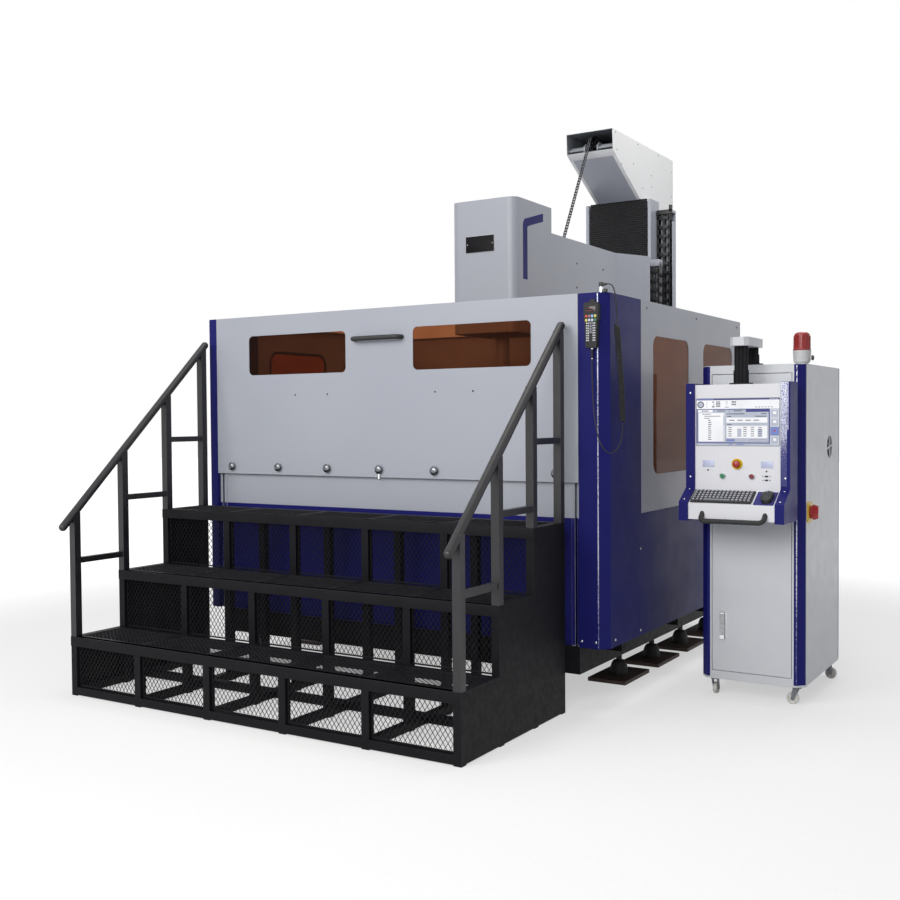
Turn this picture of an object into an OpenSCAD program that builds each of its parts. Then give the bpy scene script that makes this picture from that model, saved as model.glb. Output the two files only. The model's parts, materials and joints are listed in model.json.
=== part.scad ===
// Wire electrical discharge machine: enclosed bed with column and upper arm, operator stairs,
// and a control cabinet with a hanging console. Millimetres. X to the right, Y to the back, Z up.
// All pieces are drawn from the floor point under the enclosure's front right corner, and the
// placed() module moves the whole machine so that the middle of its footprint is the origin.

/* [Enclosure] */
// Width of the enclosure
enc_w = 2630; // [2500:5:2900]
// Depth of the enclosure
enc_d = 2133; // [2100:1:2400]
// Height of the enclosure's top edge
enc_top = 2050; // [2000:5:2080]
// Height of the plinth's underside above the floor
base_bot = 180; // [150:5:220]
// Height of the lower edge of the blue skirts
skirt_bot = 317; // [290:1:350]
// Height of the joint between skirts and grey panels
belt_z = 950; // [920:5:980]
// Depth of the folded wall panels
wall_t = 40; // [30:1:60]
// Thickness of the sheet metal
sheet = 3; // [2:0.5:5]
// Width of the right corner column, seen from the front
right_col_w = 148; // [120:1:180]
// Width of the left corner column, seen from the front
left_col_w = 98; // [80:1:140]
// Length of the corner columns along the sides
col_side = 440; // [380:5:480]
// Chamfer of the corner columns
col_chamfer = 45; // [30:1:60]
// Lower edge of the side windows
side_win_z = 1142; // [1100:1:1200]
// Height of the side windows
side_win_h = 733; // [600:1:760]
// Width of the side windows
side_win_w = 553; // [450:1:600]
// Distance from the front to the middle of the first side window
side_win_y = 886; // [860:1:920]
// Distance between the middles of the two side windows
side_win_pitch = 802; // [740:1:820]
// Corner radius of the side windows
side_win_r = 60; // [30:1:90]

/* [Front door] */
// Lower edge of the raised door
door_bot = 1127; // [1080:1:1160]
// Depth of the door pan
door_t = 20; // [16:1:24]
// How far the door slides down, for its joint
door_travel = 750; // [500:10:760]
// Side gap between the door and the corner columns
door_gap = 3; // [2:0.5:6]
// Width of a door window
door_win_w = 708; // [600:1:760]
// Height of a door window
door_win_h = 229; // [180:1:260]
// Height of the middle of the door windows
door_win_z = 1821; // [1780:1:1850]
// Distance from the door's middle to the middle of each window
door_win_off = 578; // [540:1:600]
// Corner radius of the door windows
door_win_r = 28; // [15:1:40]
// Thickness of the window panes
pane_t = 5; // [4:0.5:8]
// Length of the door handle
handle_len = 334; // [250:1:400]
// Height of the door handle's middle
handle_z = 1886; // [1860:1:1900]
// Distance of the handle bar from the door
handle_out = 42; // [35:1:48]
// Diameter of the domed clamping knobs
knob_d = 49; // [40:1:56]
// How far the domed knobs stand out
knob_out = 26; // [20:1:34]
// Number of domed knobs
knob_count = 7; // [5:1:8]
// Distance between the domed knobs
knob_pitch = 357; // [300:1:360]
// Height of the domed knobs above the door's lower edge
knob_up = 43; // [32:1:60]
// Running gap of the door's runners in their rails
slide_gap = 0.5; // [0.3:0.1:0.8]

/* [Feet] */
// Length of a foot plate, front to back
foot_l = 350; // [250:5:400]
// Width of a foot plate
foot_w = 220; // [180:5:260]
// Thickness of a foot plate
foot_t = 20; // [12:1:30]
// Radius of a levelling dome at its foot
dome_r = 50; // [40:1:60]
// Distance between the feet along the plinth
foot_pitch = 490; // [450:5:520]
// Distance from the front to the first foot's middle
foot_first = 775; // [600:5:800]

/* [Bed and table] */
// Inset of the plinth's sides from the enclosure's sides
plinth_in = 150; // [120:5:200]
// Rear edge of the plinth
plinth_rear = 2440; // [2430:5:2500]
// Rear edge of the bed under the column
bed_rear = 4250; // [4230:5:4400]
// Height of the bed's top
bed_top = 620; // [580:5:640]
// Width of a linear rail
rail_w = 45; // [35:1:55]
// Height of a linear rail
rail_h = 40; // [30:1:45]
// Travel of the table to each side
table_travel = 300; // [200:10:320]
// Travel of the saddle to the front and to the back
saddle_travel = 200; // [150:10:220]
// Width of the table frame
table_w = 1500; // [1400:10:1600]
// Length of the table frame
table_l = 900; // [800:10:960]
// Height of the table's clamping face
table_z = 1230; // [1220:5:1260]
// Width of the table frame's bars
table_bar = 130; // [100:5:150]
// Diameter of the wire drum
drum_d = 160; // [140:1:180]
// Length of the wire drum
drum_l = 260; // [200:5:280]
// Travel of the drum carriage to each side of its middle
drum_travel = 75; // [50:5:90]
// Radial running clearance of the drum shaft
shaft_gap = 0.05; // [0.02:0.01:0.1]

/* [Column, arm and head] */
// Distance of the arm's middle from the enclosure's right side
arm_off = 1315; // [1290:1:1340]
// Front face of the column's guideway
column_y = 3320; // [3300:5:3360]
// Width of the column's guideway flange
flange_w = 550; // [520:5:580]
// Depth of the guideway flange
flange_t = 100; // [80:5:110]
// Width of the column's box
column_w = 375; // [340:5:400]
// Rear face of the column's box
column_rear = 3968; // [3900:1:4000]
// Height of the column's top
column_top = 3100; // [3060:5:3130]
// Travel of the upper arm, for its joint
arm_travel = 300; // [200:10:320]
// Underside of the upper arm
arm_bot = 2100; // [2090:1:2130]
// Top of the upper arm
arm_top = 2650; // [2600:5:2700]
// Width of the upper arm and of the head
arm_w = 465; // [430:5:480]
// Width over the arm's flared root
flare_w = 750; // [700:5:780]
// Where the arm's side starts to flare
flare_y0 = 2641; // [2600:1:2700]
// Where the flare is widest
flare_y1 = 2950; // [2920:1:2970]
// Front face of the head
head_y = 1100; // [1050:5:1150]
// Rear face of the head
head_rear = 1598; // [1560:1:1640]
// Top of the head
head_top = 2812; // [2780:1:2860]
// Underside of the head
head_bot = 1980; // [1950:5:2010]
// Radius of the head's upright edges
head_r = 58; // [40:1:80]
// Distance of the wire from the front
wire_y = 1350; // [1330:5:1370]
// Height of the upper wire guide's tip
guide_z = 1500; // [1450:5:1600]
// Underside of the lower arm
low_arm_z = 890; // [885:1:900]
// Height of the lower arm
low_arm_h = 160; // [140:5:170]
// Width of the lower arm
low_arm_w = 220; // [180:5:240]
// Width of the bellows
bellows_w = 482; // [460:2:490]
// Number of folds in the bellows
bellows_folds = 16; // [10:1:22]

/* [Hood and chains] */
// Front edge of the hood
hood_y = 2705; // [2680:1:2740]
// Top of the hood
hood_top = 3580; // [3540:5:3620]
// Height of the hood's front opening
hood_open = 150; // [120:5:180]
// Pitch of the lift chain
chain_pitch = 25.4; // [19.05:0.01:31.75]
// Radius of the lift chain's front sprocket
sprocket_r = 75; // [60:1:85]
// Where the lift chain is anchored on the arm
chain_y = 2235; // [2200:1:2280]
// Pitch of the drag chain's links
link_pitch = 70; // [55:1:90]
// Width of the drag chain
link_w = 105; // [90:1:106]
// Height of the drag chain's links
link_h = 60; // [50:1:66]
// Bending radius of the drag chain
bend_r = 115; // [100:1:120]

/* [Stairs] */
// Width of the stairs
stair_w = 2403; // [2200:1:2450]
// Distance of the stairs from the enclosure's right side
stair_in = 199; // [180:1:240]
// Gap between the stairs and the enclosure
stair_gap = 55; // [50:1:80]
// Height of one step
rise = 312; // [280:1:315]
// Depth of one step
going = 329; // [300:1:360]
// Number of steps
steps = 3; // [2:1:3]
// Size of the square tubes
tube = 40; // [30:1:50]
// Height of the nosing at the front of each tread
nosing_h = 50; // [40:1:60]
// Number of bays across the stairs
bays = 5; // [3:1:6]
// Thickness of the expanded metal
mesh_t = 4; // [3:0.5:6]
// Width of the strands of the expanded metal
strand = 9; // [6:0.5:14]
// Height of the handrail above each nosing
rail_up = 655; // [600:5:900]
// Diameter of the handrail
rail_d = 42; // [32:1:48]
// Height of the lower rail above each tread
mid_up = 400; // [300:5:450]

/* [Cabinet] */
// Gap between the enclosure and the cabinet
cab_gap = 265; // [240:5:400]
// Width of the cabinet
cab_w = 520; // [500:5:600]
// Depth of the cabinet
cab_d = 800; // [700:5:900]
// Distance of the cabinet's front behind the enclosure's front
cab_y = 595; // [560:5:700]
// Height of the cabinet's underside
cab_bot = 100; // [95:1:120]
// Height of the cabinet's top
cab_top = 1704; // [1690:1:1760]
// Chamfer of the cabinet's front posts
post_c = 34; // [25:1:40]
// Thickness of the cabinet door
cab_door_t = 18; // [14:1:24]
// Gap around the cabinet door
cab_door_gap = 3; // [2:0.5:5]
// Diameter of the caster wheels
wheel_d = 60; // [50:1:64]
// Width of the caster wheels
wheel_w = 20; // [16:1:24]
// Distance of a caster's wheel axle from its swivel axis
trail = 20; // [14:1:24]
// Diameter of the fan opening
fan_d = 120; // [100:1:140]
// Number of fan blades
fan_blades = 7; // [5:1:9]
// Diameter of the beacon's lens
beacon_d = 87; // [70:1:100]

/* [Console] */
// Distance of the swing arm's post behind the cabinet's front
arm_post_in = 50; // [46:1:80]
// Distance between the post and the console's hanger
swing_len = 178; // [170:1:190]
// Width of the swing arm
swing_w = 94; // [80:1:110]
// Height of the swing arm
swing_h = 43; // [35:1:55]
// Height of the swing arm's underside above the cabinet
swing_up = 88; // [80:1:110]
// Width of the console's body
con_w = 424; // [400:1:440]
// Depth of the console's body
con_d = 130; // [110:1:134]
// Thickness of the console's cheeks
cheek_t = 45; // [30:1:50]
// Height of the console's top
con_top = 1603; // [1590:1:1620]
// Height of the panel's lower edge
con_mid = 1083; // [1060:1:1100]
// Height of the console's underside
con_bot = 945; // [930:1:960]
// How far the keyboard shelf stands out
shelf_out = 105; // [90:1:130]
// Drop of the keyboard shelf to its front
shelf_drop = 62; // [40:1:80]
// Width of the screen
screen_w = 408; // [360:1:416]
// Height of the screen
screen_h = 229; // [200:1:240]
// Width of the keyboard
key_w = 300; // [260:1:310]
// Running gap of the push buttons
button_gap = 0.3; // [0.2:0.1:0.5]

/* [Hand pendant] */
// Width of the pendant
rem_w = 76; // [66:1:84]
// Height of the pendant
rem_h = 220; // [180:5:240]
// Thickness of the pendant
rem_t = 28; // [22:1:34]
// Diameter of the pendant's cord
cord_d = 6; // [6:0.5:9]
// Outer diameter of the pendant cord's curly stretch
coil_d = 32; // [26:1:38]

/* [Hidden] */
$fn = 32;
tiny = 0.01; // overlap of cuts past a face

blue = "#23246e";
grey = "#a9aeb8";
pale = "#c8cad0";
black = "#262628";

// Places that several pieces share
arm_x = -arm_off; // middle of arm, column and table
left_in = -enc_w + left_col_w; // inner edges of the corner columns
right_in = -right_col_w;
door_x0 = left_in + door_gap;
door_x1 = right_in - door_gap;
door_mid = (door_x0 + door_x1) / 2;
track_w = 50; // door rails: outer width and depth
track_t = 36;
track_wall = 4;
track_y = door_t + 2;
apron_y = door_t + 6;
front_t = 30; // depth of the apron and front skirt
stair_x1 = -stair_in;
stair_x0 = stair_x1 - stair_w;
stair_y0 = -stair_gap - steps * going;
rail_start = 78; // handrail ahead of the first post
cab_x0 = cab_gap;
cab_x1 = cab_x0 + cab_w;
cab_y1 = cab_y + cab_d;
post_face = 14; // flat front strip of a cabinet post
post_in = post_c + post_face;
cab_door_top = cab_top - 46;
cab_door_bot = cab_bot + 45;
con_x = cab_x0 + cab_w / 2 - 12; // middle of the console
post_y = cab_y + arm_post_in;
hanger_y = post_y - swing_len;
con_y = hanger_y - con_d / 2; // face of the console's panel
con_y1 = con_y + con_d;
shelf_y = con_y - shelf_out;
swing_z = cab_top + swing_up;
switch_out = 46; // main switch, from the cabinet's side
handle_down = 15;

x_max = cab_x1 + switch_out;
y_min = stair_y0 - rail_start;
home = [(enc_w - x_max) / 2, -(y_min + bed_rear) / 2, 0];

// --- building blocks ---

module placed() {
    translate(home) children();
}

// Box between two X, two Y and two Z planes
module block(x, y, z) {
    translate([x[0], y[0], z[0]]) cube([x[1] - x[0], y[1] - y[0], z[1] - z[0]]);
}

// Outline drawn in Y and Z, extruded from x0 to x1
module across(x0, x1) {
    translate([x0, 0, 0]) rotate([90, 0, 90]) linear_extrude(x1 - x0) children();
}

// Outline drawn in X and Z, extruded from y0 to y1
module along(y0, y1) {
    translate([0, y1, 0]) rotate([90, 0, 0]) linear_extrude(y1 - y0) children();
}

// Cylinders along X and along Y
module rod_x(x0, x1, r) {
    translate([x0, 0, 0]) rotate([0, 90, 0]) cylinder(h = x1 - x0, r = r);
}
module rod_y(y0, y1, r) {
    translate([0, y0, 0]) rotate([-90, 0, 0]) cylinder(h = y1 - y0, r = r);
}

// Mirror image about the plane x = x0
module flip_x(x0) {
    translate([2 * x0, 0, 0]) mirror([1, 0, 0]) children();
}
module both_sides(x0) {
    children();
    flip_x(x0) children();
}

// Rectangle with round corners, centred
module round_rect(w, h, r) {
    square([w - 2 * r, h], center = true);
    square([w, h - 2 * r], center = true);
    for (x = [-1, 1], y = [-1, 1]) translate([x * (w / 2 - r), y * (h / 2 - r)]) circle(r);
}

// Folded sheet pan in X and Z: skin at y = 0, edges turned back to depth d
module pan(w, h, d) {
    difference() {
        cube([w, d, h]);
        translate([sheet, sheet, sheet]) cube([w - 2 * sheet, d, h - 2 * sheet]);
    }
}

// Expanded metal: staggered diamonds, n_x by n_y and the ones between them
module diamonds(w, h, n_x, n_y) {
    p = [w / n_x, h / n_y];
    module diamond(c) {
        a = p.x / 2 - strand;
        b = p.y / 2 - strand * p.y / p.x;
        translate(c) polygon([[-a, 0], [0, -b], [a, 0], [0, b]]);
    }
    for (i = [0:n_x - 1], j = [0:n_y - 1]) diamond([(i + 0.5) * p.x, (j + 0.5) * p.y]);
    for (i = [1:n_x - 1], j = [1:n_y - 1]) diamond([i * p.x, j * p.y]);
}

// U-shaped bar handle along X, its feet on y = 0 and its bar at y = -out
module bar_handle(len, out, d) {
    r = d; // bend radius on the centre line
    for (side = [-1, 1]) {
        translate([side * len / 2, 0, 0]) rod_y(r - out, 0, d / 2);
        translate([side * (len / 2 - r), r - out, 0])
            rotate([0, 0, side > 0 ? -90 : 180])
                rotate_extrude(angle = 90) translate([r, 0]) circle(d / 2);
    }
    translate([0, -out, 0]) rod_x(r - len / 2, len / 2 - r, d / 2);
}

// --- bed and feet ---

plinth_x1 = -plinth_in;
plinth_x0 = -enc_w + plinth_in;
plinth_y = 10;
ext_half = 635; // half the width of the bed's extension
y_rail = 500; // saddle rails, from the arm's middle
casting_in = 250;
deck_rail = 20; // height of the drum carriage's rails
drum_x = arm_x - 400;
drum_y = 2800;
bracket_h = 40;
bracket_y = [col_side / 2, for (i = [0:2]) foot_first + (i + 0.5) * foot_pitch];

module bed() {
    rib = 40;
    color(black) placed() difference() {
        union() {
            block([plinth_x0, plinth_x1], [plinth_y, plinth_rear], [base_bot, skirt_bot]);
            block([plinth_x0 + casting_in, plinth_x1 - casting_in], [plinth_y + casting_in, plinth_rear],
                [skirt_bot - tiny, bed_top]);
            block([arm_x - ext_half, arm_x + ext_half], [plinth_rear - tiny, bed_rear], [base_bot, bed_top]);
            both_sides(-enc_w / 2) for (y = bracket_y)
                block([plinth_x1 - tiny, -5], [y - 30, y + 30], [skirt_bot - bracket_h, skirt_bot]);
            both_sides(arm_x) block([arm_x + y_rail - rail_w / 2, arm_x + y_rail + rail_w / 2],
                [wire_y - saddle_half.y - saddle_travel - 300, wire_y + saddle_half.y + saddle_travel + 150],
                [bed_top - tiny, bed_top + rail_h]);
            for (side = [-1, 1]) translate([drum_x + side * 100, 0, 0])
                block([-12, 12], [drum_y - 325 - drum_travel, drum_y + 325 + drum_travel],
                    [bed_top - tiny, bed_top + deck_rail]);
        }
        // drain trough between the rails
        block([arm_x - y_rail + 120, arm_x + y_rail - 120], [plinth_y + casting_in + rib, plinth_rear - 260],
            [bed_top - 160, bed_top + 1]);
        // pockets between the ribs of the extension's sides
        both_sides(arm_x) for (i = [0:2])
            block([arm_x + ext_half - 60, arm_x + ext_half + 1],
                [plinth_rear + rib + i * 590, plinth_rear + i * 590 + 550], [base_bot + rib, bed_top - rib]);
    }
}

// Middles of the feet: four down each side of the plinth, two pairs under the column
foot_x = plinth_in + foot_w / 2 + 8;
foot_places = concat(
    [for (x = [-foot_x, -enc_w + foot_x], i = [0:3]) [x, foot_first + i * foot_pitch]],
    [for (side = [-1, 1], y = [column_y - 220, bed_rear - 200]) [arm_x + side * (ext_half - foot_w / 2), y]]);

module foot_plates() {
    color("#54403d") placed() for (p = foot_places)
        translate([p.x - foot_w / 2, p.y - foot_l / 2, 0]) cube([foot_w, foot_l, foot_t]);
}

// Levelling mount: a bell under a threaded stud with its nut
module foot_domes() {
    bell_h = 78;
    stud_r = 16;
    color("#2b2c2d") placed() for (p = foot_places) translate([p.x, p.y, foot_t]) {
        rotate_extrude() polygon(concat([[0, 0], [dome_r, 0], [dome_r, 10]],
            [for (a = [0:15:75]) [stud_r + 4 + (dome_r - stud_r - 4) * cos(a), 10 + (bell_h - 10) * sin(a)]],
            [[stud_r, bell_h], [stud_r, base_bot - foot_t], [0, base_bot - foot_t]]));
        translate([0, 0, base_bot - foot_t - 20]) cylinder(h = 18, r = 27, $fn = 6);
    }
}

// --- enclosure ---

// Folded corner column with end caps; the right one as drawn
module corner_column(w) {
    c = col_chamfer;
    s = col_side;
    k = sheet * tan(22.5);
    skin = [[-w, 0], [-c, 0], [0, c], [0, s], [-wall_t, s], [-wall_t, s - sheet], [-sheet, s - sheet],
        [-sheet, c + k], [-c - k, sheet], [-w + sheet, sheet], [-w + sheet, wall_t], [-w, wall_t]];
    cap = [[-w, 0], [-c, 0], [0, c], [0, s], [-wall_t, s], [-wall_t, wall_t], [-w, wall_t]];
    translate([0, 0, skirt_bot]) linear_extrude(enc_top - skirt_bot) polygon(skin);
    for (z = [skirt_bot, enc_top - sheet]) translate([0, 0, z]) linear_extrude(sheet) polygon(cap);
}

socket_at = [-40, 30]; // pendant cord's socket on the right column
socket_z = enc_top + 40;

module corner_columns() {
    color(blue) placed() {
        corner_column(right_col_w);
        translate([-enc_w, 0, 0]) mirror([1, 0, 0]) corner_column(left_col_w);
        translate([socket_at.x, socket_at.y, enc_top - tiny]) cylinder(h = 50, r = 9);
        translate([socket_at.x, socket_at.y, socket_z]) rod_x(0, 20, 7);
    }
}

// Right side pan between the corner column and the back, from z0 to z1
module side_pan(z0, z1) {
    translate([0, col_side, z0]) rotate([0, 0, 90]) pan(enc_d - col_side, z1 - z0, wall_t);
}
module back_pan(z0, z1) {
    translate([-wall_t, enc_d, z0]) rotate([0, 0, 180]) pan(enc_w - 2 * wall_t, z1 - z0, wall_t);
}
module front_pan(z0, z1) {
    translate([left_in + track_w, apron_y, z0]) pan(right_in - left_in - 2 * track_w, z1 - z0, front_t);
}

// Way of the lower arm through the back wall
module low_arm_way() {
    gap = 20;
    block([arm_x - low_arm_w / 2 - gap, arm_x + low_arm_w / 2 + gap], [enc_d - wall_t - 1, enc_d + 1],
        [low_arm_z - gap, low_arm_z + low_arm_h + gap]);
}

module skirts() {
    gap = 12;
    color(blue) placed() {
        front_pan(skirt_bot, belt_z);
        both_sides(-enc_w / 2) side_pan(skirt_bot, belt_z);
        difference() {
            back_pan(skirt_bot, belt_z);
            low_arm_way();
            block([plinth_x0 + casting_in - gap, plinth_x1 - casting_in + gap],
                [enc_d - wall_t - 1, enc_d + 1], [skirt_bot - 1, bed_top + gap]);
        }
    }
}

// Side window outline, grown by g
module side_holes(g) {
    for (y = [side_win_y, side_win_y + side_win_pitch]) translate([y, side_win_z + side_win_h / 2])
        round_rect(side_win_w + 2 * g, side_win_h + 2 * g, side_win_r + g);
}

module wall_panels() {
    color(grey) placed() {
        both_sides(-enc_w / 2) difference() {
            side_pan(belt_z, enc_top);
            across(-sheet - 1, 1) side_holes(0);
        }
        difference() {
            back_pan(belt_z, enc_top);
            low_arm_way();
        }
    }
}

module side_windows() {
    color("#a3551e") placed() both_sides(-enc_w / 2) across(-sheet - pane_t, -sheet) side_holes(18);
}

// Apron below the door with the two rails that the door runs in
apron_over = 55;

module door_track() {
    slot = 12 + 2 * slide_gap;
    difference() {
        square([track_w, track_t]);
        translate([track_wall, track_wall]) square([track_w - 2 * track_wall, track_t - 2 * track_wall]);
        translate([(track_w - slot) / 2, -1]) square([slot, track_wall + 2]);
    }
}

module apron_panel() {
    color(grey) placed() {
        front_pan(belt_z, door_bot + apron_over);
        for (x = [left_in, right_in - track_w]) translate([x, track_y, skirt_bot])
            linear_extrude(enc_top - skirt_bot - 2) door_track();
    }
}

// Door window outline, grown by g
module door_holes(g) {
    for (side = [-1, 1]) translate([door_mid + side * door_win_off, door_win_z])
        round_rect(door_win_w + 2 * g, door_win_h + 2 * g, door_win_r + g);
}

module front_door() {
    stile = 34;
    runner_x = track_w / 2;
    color(grey) placed() {
        difference() {
            translate([door_x0, 0, door_bot]) pan(door_x1 - door_x0, enc_top - door_bot, door_t);
            along(-1, sheet + 1) door_holes(0);
        }
        for (x = [door_x0, door_x1 - stile]) block([x, x + stile], [0, door_t], [door_bot, enc_top]);
        for (x = [left_in + runner_x, right_in - runner_x]) {
            block([x - 6, x + 6], [door_t - tiny, track_y + track_wall + slide_gap + tiny],
                [door_bot + 10, enc_top - 30]);
            block([x - 12, x + 12], [track_y + track_wall + slide_gap, track_y + track_wall + slide_gap + 8],
                [door_bot + 10, enc_top - 30]);
        }
    }
}

module door_windows() {
    color("#a3551e") placed() along(sheet, sheet + pane_t) door_holes(14);
}

module door_handle() {
    color(black) placed() translate([door_mid, 0, handle_z]) bar_handle(handle_len - 26, handle_out, 26);
}

// Domed clamping knobs on short necks
module door_knobs() {
    r = knob_d / 2;
    neck = 7;
    color("silver") placed() for (i = [0:knob_count - 1])
        translate([door_mid + (i - (knob_count - 1) / 2) * knob_pitch, 0, door_bot + knob_up])
            rotate([90, 0, 0]) rotate_extrude() polygon(concat([[0, 0], [r * 0.6, 0], [r * 0.6, neck]],
                [for (a = [0:15:75]) [r * cos(a), neck + 4 + (knob_out - neck - 4) * sin(a)]],
                [[0, knob_out]]));
}

// --- column, hood and chains ---

z_rail_t = 28; // how far the column's rails stand out
z_rail = 190; // their distance from the arm's middle
strip_off = bellows_w / 2 + 9; // inner faces of the bellows' side strips
strip_t = 28;
flange_top = column_top + 40;
foot_top = 1450; // top of the column's wide foot
base_half = 430; // half of that foot's width
cover_y = column_y - 75; // front edge of the strips and the hood's floor
chain_x = arm_x + flange_w / 2 + 5 + link_w / 2; // middle of the drag chain
chain_back = column_y + 75;
chain_front = chain_back - 2 * bend_r;
chain_top = column_top - 60;
chain_turn = foot_top + 150 + bend_r + link_h / 2; // height of the middle of its turn
chain_end = arm_top - 50 - slide_gap; // under the bracket on the arm
tray_x = chain_x + link_w / 2 + 22;
tray_y = column_y + flange_t + 18; // back of the tray

module column() {
    color(grey) placed() {
        difference() {
            across(arm_x - base_half, arm_x + base_half) polygon([[column_y + 20, bed_top],
                [bed_rear - 30, bed_top], [bed_rear - 30, bed_top + 60], [column_rear, foot_top],
                [column_y + 20, foot_top]]);
            both_sides(arm_x) block([arm_x + base_half - 60, arm_x + base_half + 1],
                [column_y + 90, column_rear - 80], [bed_top + 110, foot_top - 90]);
        }
        block([arm_x - column_w / 2, arm_x + column_w / 2], [column_y + flange_t - tiny, column_rear],
            [foot_top - tiny, column_top]);
        block([arm_x - flange_w / 2, arm_x + flange_w / 2], [column_y, column_y + flange_t],
            [bed_top, flange_top]);
        both_sides(arm_x) {
            block([arm_x + z_rail - rail_w / 2, arm_x + z_rail + rail_w / 2],
                [column_y - z_rail_t, column_y + tiny], [arm_bot - 60, flange_top]);
            block([arm_x + strip_off, arm_x + strip_off + strip_t - 4], [cover_y, column_y + tiny],
                [arm_bot - 60, flange_top]);
        }
        // guide tray and top clamp of the drag chain
        block([arm_x + column_w / 2 - tiny, tray_x], [tray_y - 4, tray_y], [foot_top - tiny, chain_top + 20]);
        block([tray_x - 4, tray_x], [chain_back - link_h / 2, tray_y], [foot_top + 80, chain_top - 70]);
        block([arm_x + column_w / 2 - tiny, tray_x], [column_y + flange_t + tiny, tray_y],
            [chain_top, chain_top + 20]);
        block([arm_x + flange_w / 2 - tiny, tray_x], [chain_back - link_h / 2 - 8, tray_y],
            [chain_top, chain_top + 20]);
    }
}

sprocket_y = hood_y + 85;
sprocket_z = hood_top - sprocket_r - 25;
shaft_r = 12;

// Folded sheet hood, open to the front and over the column
module hood() {
    w = column_w / 2;
    lip_z = hood_top - hood_open;
    floor_z = flange_top + 6;
    side = [[hood_y, hood_top], [column_rear, hood_top], [column_rear, column_top],
        [column_y + flange_t + 2, column_top], [column_y + flange_t + 2, floor_z], [cover_y, floor_z],
        [hood_y + 65, lip_z - 36], [hood_y + 8, lip_z]];
    floor_strip = [[hood_y + 8, lip_z], [hood_y + 65, lip_z - 36], [cover_y, floor_z],
        [column_y + flange_t + 2, floor_z], [column_y + flange_t + 2, floor_z + sheet],
        [cover_y + 1, floor_z + sheet], [hood_y + 66, lip_z - 36 + sheet], [hood_y + 9, lip_z + sheet]];
    color("#d6d9dc") placed() {
        both_sides(arm_x) across(arm_x + w - sheet, arm_x + w) polygon(side);
        block([arm_x - w, arm_x + w], [hood_y, column_rear], [hood_top - sheet, hood_top]);
        block([arm_x - w, arm_x + w], [column_rear - sheet, column_rear], [column_top, hood_top]);
        across(arm_x - w, arm_x + w) polygon(floor_strip);
        // shaft of the front sprocket, and a tie rod above the lip
        translate([0, sprocket_y, sprocket_z])
            rod_x(arm_x - w + sheet - tiny, arm_x + w - sheet + tiny, shaft_r);
        translate([0, hood_y + 45, lip_z + 30]) {
            rod_x(arm_x - w + sheet - tiny, arm_x - 60, 9);
            rod_x(arm_x + 60, arm_x + w - sheet + tiny, 9);
        }
        // anchor of the lift chain
        block([arm_x - 22, arm_x + 22], [lift_end, lift_end + 30],
            [sprocket_z + lift_r - 22, hood_top - sheet + tiny]);
        // cheeks between the tie rods and the sprocket's shaft
        both_sides(arm_x) across(arm_x + 48, arm_x + 60) polygon([[hood_y + 30, lip_z + 14],
            [hood_y + 62, lip_z + 14], [sprocket_y + 26, sprocket_z - 20], [sprocket_y + 26, sprocket_z + 24],
            [sprocket_y - 24, sprocket_z + 24], [hood_y + 30, lip_z + 50]]);
    }
}

// Toothed wheel with lightening holes that turns on the hood's shaft
module lift_sprocket() {
    teeth = round(2 * PI * sprocket_r / chain_pitch);
    color("#3a3c40") placed() translate([arm_x, sprocket_y, sprocket_z]) difference() {
        union() {
            rotate([0, 90, 0]) linear_extrude(7, center = true) {
                circle(sprocket_r - 9);
                for (i = [0:teeth - 1]) rotate(i * 360 / teeth) translate([sprocket_r - 10, 0])
                    polygon([[0, -6], [7, -2.5], [7, 2.5], [0, 6]]);
            }
            rod_x(-40, 40, 22);
        }
        rod_x(-41, 41, shaft_r + shaft_gap);
        for (i = [0:4]) rotate([i * 72, 0, 0]) translate([0, 44, 0]) rod_x(-5, 5, 12);
    }
}

// Way cover above the arm's slide: folds on a backing
module bellows() {
    z0 = arm_top + slide_gap;
    z1 = flange_top + 6;
    p = (z1 - z0) / bellows_folds;
    front = cover_y + 5;
    fold = 9;
    thick = 16;
    color("#17181a") placed() across(arm_x - bellows_w / 2, arm_x + bellows_w / 2)
        polygon(concat(
            [for (i = [0:bellows_folds - 1], k = [1, 0]) [front + k * fold, z0 + (i + 0.5 - 0.5 * k) * p]],
            [[front + fold, z1], [front + fold + thick, z1]],
            [for (i = [bellows_folds - 1:-1:0], k = [0, 1])
                [front + thick + k * fold, z0 + (i + 0.5 - 0.5 * k) * p]]));
}

// Drag chain: place and heading at a distance s along its path, from the fixed end
turn_len = PI * bend_r;
down_len = chain_top - chain_turn;
up_len = chain_end - chain_turn;
link_count = floor((down_len + turn_len + up_len) / link_pitch);
link_step = (down_len + turn_len + up_len) / link_count;
function chain_place(s) =
    s < down_len ? [chain_back, chain_top - s, 0]
    : s < down_len + turn_len ?
        let (a = (s - down_len) / bend_r * 180 / PI)
        [chain_back - bend_r * (1 - cos(a)), chain_turn - bend_r * sin(a), -a]
    : [chain_front, chain_turn + s - down_len - turn_len, -180];

// Outline of one link: straight with round ends, flat where the chain is clamped
module link_outline(ends) {
    translate([-link_h / 2, -link_step / 2]) square([link_h, link_step]);
    for (e = ends) translate([0, e * link_step]) circle(link_h / 2);
}

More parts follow.
